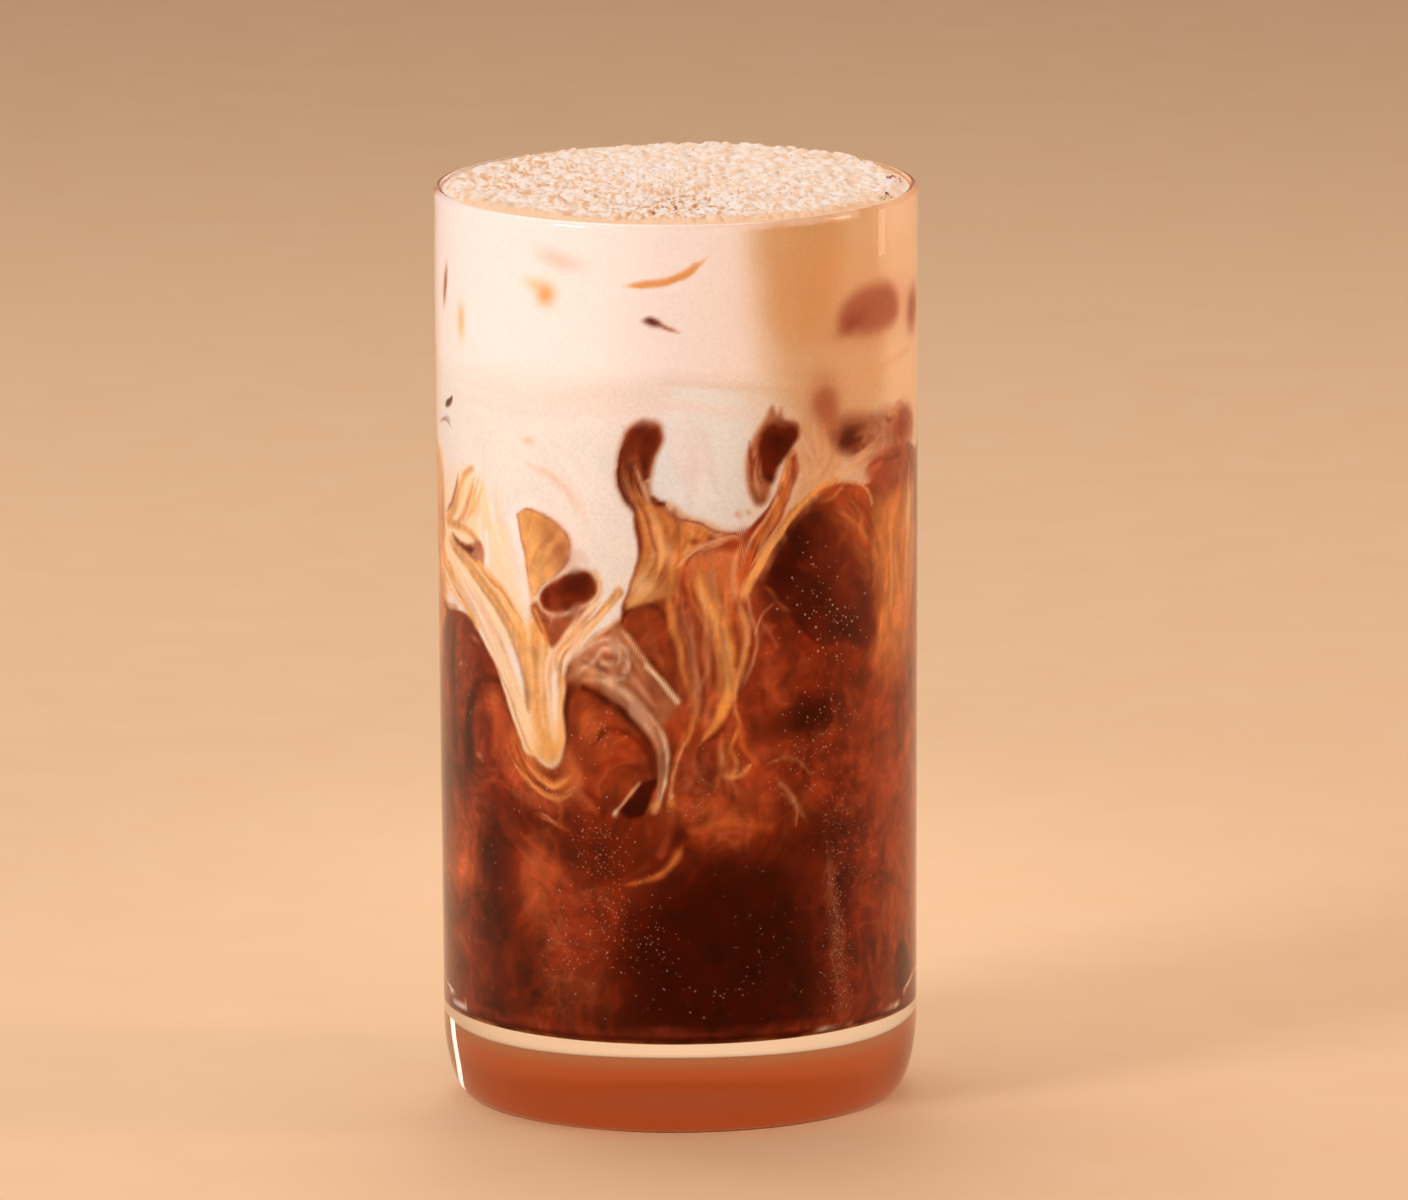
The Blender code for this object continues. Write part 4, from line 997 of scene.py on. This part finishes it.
def foam_height(s, radius):
    """Height of the foam's top in mm, with its colour's darkness, for points given by arc length and radius."""
    flat = on_wall(s, np.zeros(len(s)), radius)
    edge = inner_radius(RIM_Z)
    inset = edge - radius
    shoulder = ease(inset / 2.5)
    turn = np.degrees(s / UNROLL_RADIUS)
    off = (turn - 150 + 180) % 360 - 180
    swell = 0.5 * np.exp(-((off / 45) ** 2)) * ease(2 * radius / edge - 1)
    broad = fractal(flat, 5.0, 41, 2)
    big, tone_big = foam_bubbles(flat[:, :2], 1.7, 51)
    small, tone_small = foam_bubbles(flat[:, :2], 0.8, 61)
    relief = 0.35 * broad + 0.42 * big * (tone_big > 0.35) + 0.22 * small
    z = FOAM_EDGE_Z + shoulder * (0.55 + swell + relief) + 0.12 * small * (1 - shoulder)
    hollow = 1 - np.maximum(small, big * (tone_big > 0.35))
    return np.minimum(z, FOAM_TOP_Z - 0.02), hollow, tone_small


def make_foam(finish):
    s = columns()
    rings = [on_wall(s, foam_floor(s), drink_radius(FOAM_FLOOR_Z) * reach) for reach in (0.33, 0.66)]
    edge_z, _, _ = foam_height(s, np.full(len(s), inner_radius(RIM_Z)))
    rings += side_rings(s, foam_floor(s), edge_z, 66)
    side_count = len(rings) * len(s)
    radii = (inner_radius(RIM_Z) + REACH) * (1 - (np.arange(1, 105) / 106))
    hollows = []
    tones = []
    for radius in radii:
        z, hollow, tone = foam_height(s, np.full(len(s), radius))
        rings.append(on_wall(s, z, radius))
        hollows.append(hollow)
        tones.append(tone)
    points = np.concatenate([*rings, [[0, 0, FOAM_FLOOR_Z], [0, 0, FOAM_EDGE_Z + 0.8]]])
    colours = paint(points)
    top = slice(side_count, len(points) - 2)
    colours[top] = foam_top_colours(points[top], np.concatenate(hollows), np.concatenate(tones))
    faces = ring_faces(len(s), len(rings), len(points) - 2, len(points) - 1)
    piece = new_piece("foam_body", points, faces, "foam", colours)
    piece.data.materials.append(finish)
    return piece


def foam_top_colours(points, hollow, tone):
    """Curly white crests of bubbles over peach hollows, darker as painted shade and toasted at the front, smooth peach
    along the front edge.
    """
    flat = points * np.array([1.0, FORESHORTEN, 0.0])
    bend = np.stack([noise(flat, 2.2, 91), noise(flat, 2.2, 92), 0 * tone], axis=-1)
    curls = 1 - 2.4 * np.abs(fractal(flat + 0.9 * bend, 0.85, 81, 2))
    drift = fractal(points, 12.0, 71)
    x, y = points[:, 0] / RIM_RADIUS, points[:, 1] / RIM_RADIUS
    edge = 1 - np.hypot(x, y)
    toast = np.exp(-(((x + 0.02) / 0.26) ** 2 + ((y + 0.62) / 0.30) ** 2))
    left = np.exp(-(((x + 0.62) / 0.30) ** 2 + ((y - 0.1) / 0.7) ** 2))
    crescent = ease((0.17 - edge) / 0.10) * ease((-y - 0.15) / 0.4)
    flecks = ease((noise(flat, 0.85, 101) - 0.72) / 0.12) * ease(toast * 1.4 - 0.2)
    rgb = np.tile(srgb("#FDEAD6"), (len(points), 1))
    for colour, amount in (
        # Peach, tan and orange in the gaps between crests are painted shade, stronger in the spiced toast patch and at
        # the left.
        ("#EFC9A4", ease(0.75 - curls) * (0.35 + 0.3 * drift + 0.5 * left + 0.5 * toast)),
        ("#E6A86C", ease(0.5 - curls) * (0.10 + 0.70 * toast + 0.50 * left)),
        ("#C67838", ease(0.15 - curls) * 0.8 * toast),
        (WHITE, ease(1.5 * curls - 0.25)),
        (RUST, flecks * 0.8),
        ("#F6D2AE", crescent * 0.9),
    ):
        amount = np.clip(amount, 0, 1)[:, None]
        rgb = rgb * (1 - amount) + srgb(colour) * amount
    return linear(rgb)


def make_ice(finish):
    """Cubes sunk in the coffee, with the face that each presses to the glass shown there."""
    points, faces, colours = [], [], []
    for outline, depth, shrink in ((BIG_ICE, 17.0, 0.82), (SMALL_ICE, 6.0, 0.7), (SIDE_ICE, 9.0, 0.75)):
        edge = smooth_curve(outline, closed=True, step=0.5)[:-1]
        middle = edge.mean(axis=0)
        rings = []
        for share in (0.0, 0.06, 0.14, 0.24, 0.36, 0.5, 0.64, 0.78, 0.9, 1.0):
            s, z = (middle + (edge - middle) * share).T
            rings.append(on_wall(s, z, drink_radius(z) + ICE_PROUD * (1 - share**6)))
        face_count = len(rings)
        for inward in (0.4, 0.8, 1.0):
            s, z = (middle + (edge - middle) * (1 - (1 - shrink) * inward)).T
            rings.append(on_wall(s, z, drink_radius(z) - depth * inward))
        back = rings[-1].mean(axis=0)
        base = sum(map(len, points))
        count = len(edge)
        local = np.concatenate([*rings[1:], rings[0][:1], back[None]])
        shell = ring_faces(count, len(rings) - 1, len(local) - 2, len(local) - 1)
        turned = 1 if np.cross(*(edge[[1, 2]] - middle)) > 0 else -1
        faces += [[base + v for v in face[::-turned]] for face in shell]
        tint = paint(local)
        tint[(face_count - 1) * count : -2] = hex_linear("#6A3420")[:3]
        points.append(local)
        colours.append(tint)
    piece = new_piece("ice_cubes", np.concatenate(points), faces, None, np.concatenate(colours))
    piece.data.materials.append(finish)
    return piece


BUBBLE_ZONES = (
    # s, z, spread across, spread up, lean in mm across per mm down, how many, smallest and largest radius in mm
    (23, 84, 4.4, 6.5, 0.4, 60, 0.08, 0.19), (26, 78, 4.0, 3.0, 0, 50, 0.10, 0.25), (24, 65, 5.4, 4.4, 0, 70, 0.08, 0.18),
    (20, 57, 5, 3.4, 0, 60, 0.06, 0.13), (26.6, 49, 2.4, 4.4, 0.1, 70, 0.06, 0.13), (26.0, 32, 1.2, 7.5, 0.12, 160, 0.06, 0.14),
    (26.6, 24, 1.8, 5, 0.12, 180, 0.05, 0.12), (29, 40, 3.6, 5, 0.2, 80, 0.05, 0.12), (-10.5, 36, 2.6, 6.5, 0, 120, 0.05, 0.12),
    (-13, 45, 3, 3, 0, 80, 0.06, 0.13), (-6, 31, 3.4, 6, 0.2, 90, 0.05, 0.11), (12, 30, 6, 7, 0, 60, 0.05, 0.10),
    (-18, 30, 3.6, 6, 0, 80, 0.05, 0.12), (-12, 62, 2.6, 2.6, 0, 36, 0.06, 0.13), (3, 52, 4, 3, 0, 30, 0.06, 0.12),
    (-40, 66, 3, 5, 0, 34, 0.06, 0.14), (-34, 40, 7, 9, 0, 90, 0.05, 0.11), (40, 40, 5, 11, 0, 80, 0.05, 0.11),
    (12, 22, 13, 3.0, 0, 50, 0.05, 0.11), (-22, 54, 5, 3, 0, 40, 0.05, 0.12), (10, 70, 5, 6, 0, 30, 0.05, 0.11),
)


def small_balls(name, centres, radii, finish, squash=1.0):
    """Many small eight-sided beads joined in one mesh."""
    ring = [(math.cos(k * math.pi / 3), math.sin(k * math.pi / 3)) for k in range(6)]
    unit = [(0, 0, -1), *((0.8 * x, 0.8 * y, -0.5) for x, y in ring), *((0.8 * x, 0.8 * y, 0.5) for x, y in ring), (0, 0, 1)]
    unit = np.array(unit) * np.array([1, 1, squash])
    mould = []
    for k in range(6):
        j = (k + 1) % 6
        mould += [(0, 1 + j, 1 + k), (1 + k, 1 + j, 7 + j, 7 + k), (7 + k, 7 + j, 13)]
    points = (centres[:, None, :] + unit[None] * radii[:, None, None]).reshape(-1, 3)
    faces = [[v + 14 * i for v in face] for i in range(len(centres)) for face in mould]
    piece = new_piece(name, points, faces)
    piece.data.materials.append(finish)
    return piece


def make_bubbles(finish):
    """Air bubbles that cling to the inside of the glass."""
    centres, radii = [], []
    for s, z, across, up, lean, count, small, large in BUBBLE_ZONES:
        stray = RNG.normal(0, 0.8, (count, 2)) * (across, up)
        spots = np.array([s, z]) + stray
        spots[:, 0] -= lean * stray[:, 1]
        lowest = FLOOR_Z + FLOOR_FILLET
        spots[:, 1] = lowest + np.abs(spots[:, 1] - lowest)
        centres.append(on_wall(spots[:, 0], spots[:, 1], drink_radius(spots[:, 1])))
        radii.append(small + (large - small) * RNG.uniform(0, 1, count) ** 2)
    return small_balls("bubbles", np.concatenate(centres), np.concatenate(radii), finish)


def make_spice(finish):
    """A pinch of ground spice on the foam, thickest near the front and at the right of the rim."""
    spots = []
    for x, y, across, deep, count in (
        (-0.03, -0.60, 0.26, 0.20, 130), (-0.45, 0.0, 0.3, 0.4, 60), (0.45, -0.1, 0.35, 0.4, 70), (0.0, 0.3, 0.7, 0.5, 60),
        (0.94, 0.04, 0.03, 0.10, 34), (0.88, -0.34, 0.05, 0.06, 14),
    ):
        turn = RNG.uniform(0, math.tau, count)
        reach = np.sqrt(RNG.uniform(0, 1, count))
        spots.append(np.stack([x + across * reach * np.cos(turn), y + deep * reach * np.sin(turn)], axis=-1))
    spots = np.concatenate(spots) * inner_radius(RIM_Z)
    radius = np.hypot(*spots.T)
    spots, radius = spots[radius < inner_radius(RIM_Z) - 0.4], radius[radius < inner_radius(RIM_Z) - 0.4]
    s = UNROLL_RADIUS * np.arctan2(spots[:, 0], -spots[:, 1])
    z, _, _ = foam_height(s, radius)
    size = RNG.uniform(0.06, 0.14, len(s)) * np.where(spots[:, 0] > 0.84 * RIM_RADIUS, 1.9, 1.0)
    centres = on_wall(s, np.minimum(z + 0.02, FOAM_TOP_Z - 0.2), radius)
    return small_balls("spice", centres, size, finish, squash=0.6)


def glass_profile():
    """Half section from the foot's centre round the outside, over the rim and down to the floor's centre."""

    def arc(centre, across, up, start, end, steps):
        turns = np.radians(np.linspace(start, end, steps + 1))
        return [(centre[0] + across * math.cos(t), centre[1] + up * math.sin(t)) for t in turns]

    heel = arc((FOOT_RADIUS, HEEL_HEIGHT), WAIST_RADIUS - FOOT_RADIUS, HEEL_HEIGHT, -90, 0, 24)
    lip = RIM_WALL / 2
    wall_out = [(outer_radius(z), z) for z in np.linspace(HEEL_HEIGHT, RIM_Z - lip, 12)[1:-1]]
    rim = arc((RIM_RADIUS - lip, RIM_Z - lip), lip, lip, 0, 180, 14)
    fillet_z = FLOOR_Z + FLOOR_FILLET
    wall_in = [(inner_radius(z), z) for z in np.linspace(RIM_Z - lip, fillet_z, 12)[1:-1]]
    fillet = arc((inner_radius(fillet_z) - FLOOR_FILLET, fillet_z), FLOOR_FILLET, FLOOR_FILLET, 0, -90, 10)
    floor = [(r, FLOOR_Z) for r in np.linspace(fillet[-1][0], 0, 8)[1:-1]]
    foot = [(r, 0.0) for r in np.linspace(0, FOOT_RADIUS, 8)[1:-1]]
    return [*foot, *heel, *wall_out, *rim, *wall_in, *fillet, *floor]


def make_tumbler(finish, rim_finish):
    count = 288
    s = np.arange(count) / count * 2 * HALF_TURN
    rings = [on_wall(s, np.full(count, z), radius) for radius, z in glass_profile()]
    points = np.concatenate([*rings, [[0, 0, 0], [0, 0, FLOOR_Z]]])
    faces = ring_faces(count, len(rings), len(points) - 2, len(points) - 1)
    piece = new_piece("tumbler", points, faces, "glass")
    piece.data.materials.append(finish)
    piece.data.materials.append(rim_finish)
    for face in piece.data.polygons:
        # Faces near the rim get the second glass, whose reflections are near white rather than warm-tinted.
        face.material_index = int(face.center.z > (RIM_Z - RIM_WALL) * MM)
    return piece


def add(tree, kind, settings=(), links=()):
    """Adds a node, sets its properties and input values, and links its inputs."""
    made = tree.nodes.new(kind)
    for key, value in dict(settings).items():
        if isinstance(key, str) and hasattr(made, key):
            setattr(made, key, value)
        else:
            made.inputs[key].default_value = value
    for key, source in dict(links).items():
        tree.links.new(source, made.inputs[key])
    return made


def new_material(name):
    material = bpy.data.materials.new(name)
    material.use_nodes = True
    material.node_tree.nodes.clear()
    return material, material.node_tree


def soda_lime_glass(name, reflected):
    """Pressed and fire-polished soda-lime glass: colourless, smooth, with a very slight waviness. Its reflections take
    the tint given as reflected, which on the body is warm and dim, a painted reflection of warm surroundings.

    Lamps shine through it onto the drink, so that the drink is lit as it would be behind clear glass.
    """
    material, tree = new_material(name)
    place = add(tree, "ShaderNodeTexCoord")
    wave_width = 18 * MM
    waves = add(tree, "ShaderNodeTexNoise", {"Scale": 1 / wave_width, "Detail": 1.0}, {"Vector": place.outputs["Object"]})
    bump = add(tree, "ShaderNodeBump", {"Strength": 0.05, "Distance": 0.2 * MM}, {"Height": waves.outputs["Fac"]})
    glass = add(
        tree, "ShaderNodeBsdfPrincipled",
        {
            "Base Color": (0.985, 0.985, 0.98, 1), "Roughness": 0.0, "IOR": 1.5, "Transmission Weight": 1.0,
            "Specular Tint": reflected,
        },
        {"Normal": bump.outputs["Normal"]},
    )
    clear = add(tree, "ShaderNodeBsdfTransparent", {"Color": (0.97, 0.97, 0.97, 1)})
    path = add(tree, "ShaderNodeLightPath")
    mix = add(tree, "ShaderNodeMixShader", (), {0: path.outputs["Is Shadow Ray"], 1: glass.outputs[0], 2: clear.outputs[0]})
    add(tree, "ShaderNodeOutputMaterial", (), {"Surface": mix.outputs[0]})
    return material


def drink_finish(name, roughness, specular, speckle_size, speckle):
    """Milk and coffee seen through the glass they wet: colour only, with fine bubbles as speckle.

    The speckle is a fifth of a millimetre in the real drink and is drawn a little coarser, to show.
    """
    material, tree = new_material(name)
    colour = add(tree, "ShaderNodeVertexColor", {"layer_name": "paint"})
    place = add(tree, "ShaderNodeTexCoord")
    grain = add(
        tree, "ShaderNodeTexNoise", {"Scale": 1 / speckle_size, "Detail": 2.0, "Roughness": 0.6},
        {"Vector": place.outputs["Object"]},
    )
    lift = add(
        tree, "ShaderNodeMapRange",
        {"From Min": 0.3, "From Max": 0.7, "To Min": 1 - speckle, "To Max": 1 + speckle},
        {"Value": grain.outputs["Fac"]},
    )
    tint = add(
        tree, "ShaderNodeVectorMath", {"operation": "SCALE"},
        {0: colour.outputs["Color"], "Scale": lift.outputs["Result"]},
    )
    shader = add(
        tree, "ShaderNodeBsdfPrincipled", {"Roughness": roughness, "Specular IOR Level": specular},
        {"Base Color": tint.outputs[0]},
    )
    add(tree, "ShaderNodeOutputMaterial", (), {"Surface": shader.outputs[0]})
    return material


def bubble_skin():
    """Thin coffee film round air: pale tan, glossy."""
    material, tree = new_material("bubble_skin")
    place = add(tree, "ShaderNodeTexCoord")
    vary = add(tree, "ShaderNodeTexNoise", {"Scale": 1 / (2.0 * MM)}, {"Vector": place.outputs["Object"]})
    tint = add(
        tree, "ShaderNodeMix", {"data_type": "RGBA", 6: hex_linear("#9C6244"), 7: hex_linear("#E8CCB6")},
        {0: vary.outputs["Fac"]},
    )
    shader = add(tree, "ShaderNodeBsdfPrincipled", {"Roughness": 0.3, "IOR": 1.33}, {"Base Color": tint.outputs[2]})
    add(tree, "ShaderNodeOutputMaterial", (), {"Surface": shader.outputs[0]})
    return material


def ground_spice():
    """Dry cinnamon and cocoa dust: matt red-brown, each grain a little different."""
    material, tree = new_material("ground_spice")
    place = add(tree, "ShaderNodeTexCoord")
    vary = add(tree, "ShaderNodeTexNoise", {"Scale": 1 / (1.2 * MM)}, {"Vector": place.outputs["Object"]})
    tint = add(
        tree, "ShaderNodeMix", {"data_type": "RGBA", 6: hex_linear("#5E2A14"), 7: hex_linear("#C47A44")},
        {0: vary.outputs["Fac"]},
    )
    shader = add(tree, "ShaderNodeBsdfPrincipled", {"Roughness": 0.9}, {"Base Color": tint.outputs[2]})
    add(tree, "ShaderNodeOutputMaterial", (), {"Surface": shader.outputs[0]})
    return material


def plaster_floor():
    """Pale apricot plaster, matt and faintly mottled."""
    material, tree = new_material("pale_floor")
    place = add(tree, "ShaderNodeTexCoord")
    mottle = add(tree, "ShaderNodeTexNoise", {"Scale": 60.0, "Detail": 3.0}, {"Vector": place.outputs["Object"]})
    colour = add(
        tree, "ShaderNodeMix", {"data_type": "RGBA", 6: hex_linear("#F4CFA6"), 7: hex_linear("#F7D8B4")},
        {0: mottle.outputs["Fac"]},
    )
    shader = add(tree, "ShaderNodeBsdfPrincipled", {"Roughness": 0.7}, {"Base Color": colour.outputs[2]})
    add(tree, "ShaderNodeOutputMaterial", (), {"Surface": shader.outputs[0]})
    return material


def make_stage():
    half = 6.0
    z = -0.05 * MM
    mesh = bpy.data.meshes.new("floor")
    mesh.from_pydata([(-half, -half, z), (half, -half, z), (half, half, z), (-half, half, z)], [], [(0, 1, 2, 3)])
    mesh.materials.append(plaster_floor())
    floor = bpy.data.objects.new("floor", mesh)
    bpy.context.scene.collection.objects.link(floor)


def area_light(name, place, target, size, watts, colour, seen_through_glass=False):
    light = bpy.data.lights.new(name, "AREA")
    light.shape = "RECTANGLE"
    light.size, light.size_y = size
    light.energy = watts
    light.color = linear(srgb(colour))
    lamp = bpy.data.objects.new(name, light)
    lamp.visible_transmission = seen_through_glass
    lamp.location = place
    lamp.rotation_euler = (Vector(target) - Vector(place)).to_track_quat("-Z", "Y").to_euler()
    bpy.context.scene.collection.objects.link(lamp)
    return lamp


def make_lights():
    middle = (0, 0, 0.07)
    area_light("key_left", (-0.94, -0.74, 0.50), middle, (0.36, 0.36), 7.7, "#FFF3F0")
    area_light("front_fill", (0.55, -1.00, 0.45), middle, (0.4, 0.4), 1.3, "#FFE9D2")
    area_light("edge_right", (0.80, 0.34, 0.12), (0, 0, 0.05), (0.09, 0.30), 0.16, "#FFF1E0", True)
    rim_light = area_light("rim_behind", (0, 0.30, 0.18), (0, 0.08, 0), (0.12, 0.12), 0.02, "#FFE8CC", True)
    rim_light.data.spread = math.radians(70)
    area_light("fill_right", (1.00, -0.10, 0.34), middle, (0.20, 0.50), 3.3, "#FFC08A")
    area_light("top_soft", (-0.1, 0.35, 0.95), middle, (0.7, 0.7), 4.0, "#FFF8F0")
    bpy.context.scene.world = studio_world()


def studio_world():
    """Pale light from above, and a warm terracotta wall low down all round, as the thick base shows it."""
    world = bpy.data.worlds.new("studio")
    world.use_nodes = True
    tree = world.node_tree
    tree.nodes.clear()
    place = add(tree, "ShaderNodeTexCoord")
    parts = add(tree, "ShaderNodeSeparateXYZ", (), {0: place.outputs["Generated"]})
    colour = add(tree, "ShaderNodeValToRGB", (), {"Fac": parts.outputs["Z"]})
    ramp = colour.color_ramp
    ramp.interpolation = "EASE"
    ramp.elements[0].position, ramp.elements[0].color = 0.0, (0.44, 0.13, 0.045, 1)
    ramp.elements[1].position, ramp.elements[1].color = 0.48, (0.34, 0.31, 0.27, 1)
    for place_up, tone in ((0.10, (0.46, 0.08, 0.02, 1)), (0.20, (0.38, 0.055, 0.012, 1)), (0.29, (0.36, 0.06, 0.018, 1))):
        ramp.elements.new(place_up).color = tone
    background = add(tree, "ShaderNodeBackground", (), {"Color": colour.outputs["Color"]})
    add(tree, "ShaderNodeOutputWorld", (), {"Surface": background.outputs[0]})
    return world


# Camera, as a fit to the rim, wall and foot in the photo gives it
CAMERA_DISTANCE = 3.0
CAMERA_HEIGHT = 0.6544
CAMERA_PITCH = 10.905
CAMERA_YAW = -0.076
CAMERA_ROLL = -0.311
FOCAL_PIXELS = 19961.0
IMAGE_WIDTH = 1408
SENSOR_WIDTH = 36.0


def make_camera():
    data = bpy.data.cameras.new("camera")
    data.sensor_width = SENSOR_WIDTH
    data.lens = FOCAL_PIXELS / IMAGE_WIDTH * SENSOR_WIDTH
    data.clip_end = 50
    camera = bpy.data.objects.new("camera", data)
    camera.location = (0, -CAMERA_DISTANCE, CAMERA_HEIGHT)
    level = Euler((math.radians(90 - CAMERA_PITCH), 0, math.radians(CAMERA_YAW))).to_matrix()
    roll = Euler((0, 0, math.radians(CAMERA_ROLL))).to_matrix()
    camera.rotation_euler = (level @ roll).to_euler()
    bpy.context.scene.collection.objects.link(camera)
    bpy.context.scene.camera = camera


def main():
    bpy.context.scene.view_settings.view_transform = "Standard"
    make_camera()
    make_stage()
    make_lights()
    wet = drink_finish("coffee_and_milk_behind_glass", 0.6, 0.0, 0.5 * MM, 0.05)
    froth = drink_finish("milk_froth", 0.55, 0.25, 0.4 * MM, 0.04)
    # The body glass's warm, dim reflection tint is a painted reflection of warm surroundings; the rim glass reflects
    # near white.
    make_tumbler(
        soda_lime_glass("soda_lime_glass", (0.60, 0.18, 0.09, 1)), soda_lime_glass("rim_glass_near_white_reflection", (1, 0.95, 0.88, 1))
    )
    make_coffee(wet)
    make_milk(wet)
    make_foam(froth)
    make_ice(drink_finish("ice_in_coffee", 0.35, 0.0, 0.9 * MM, 0.05))
    make_bubbles(bubble_skin())
    make_spice(ground_spice())


main()
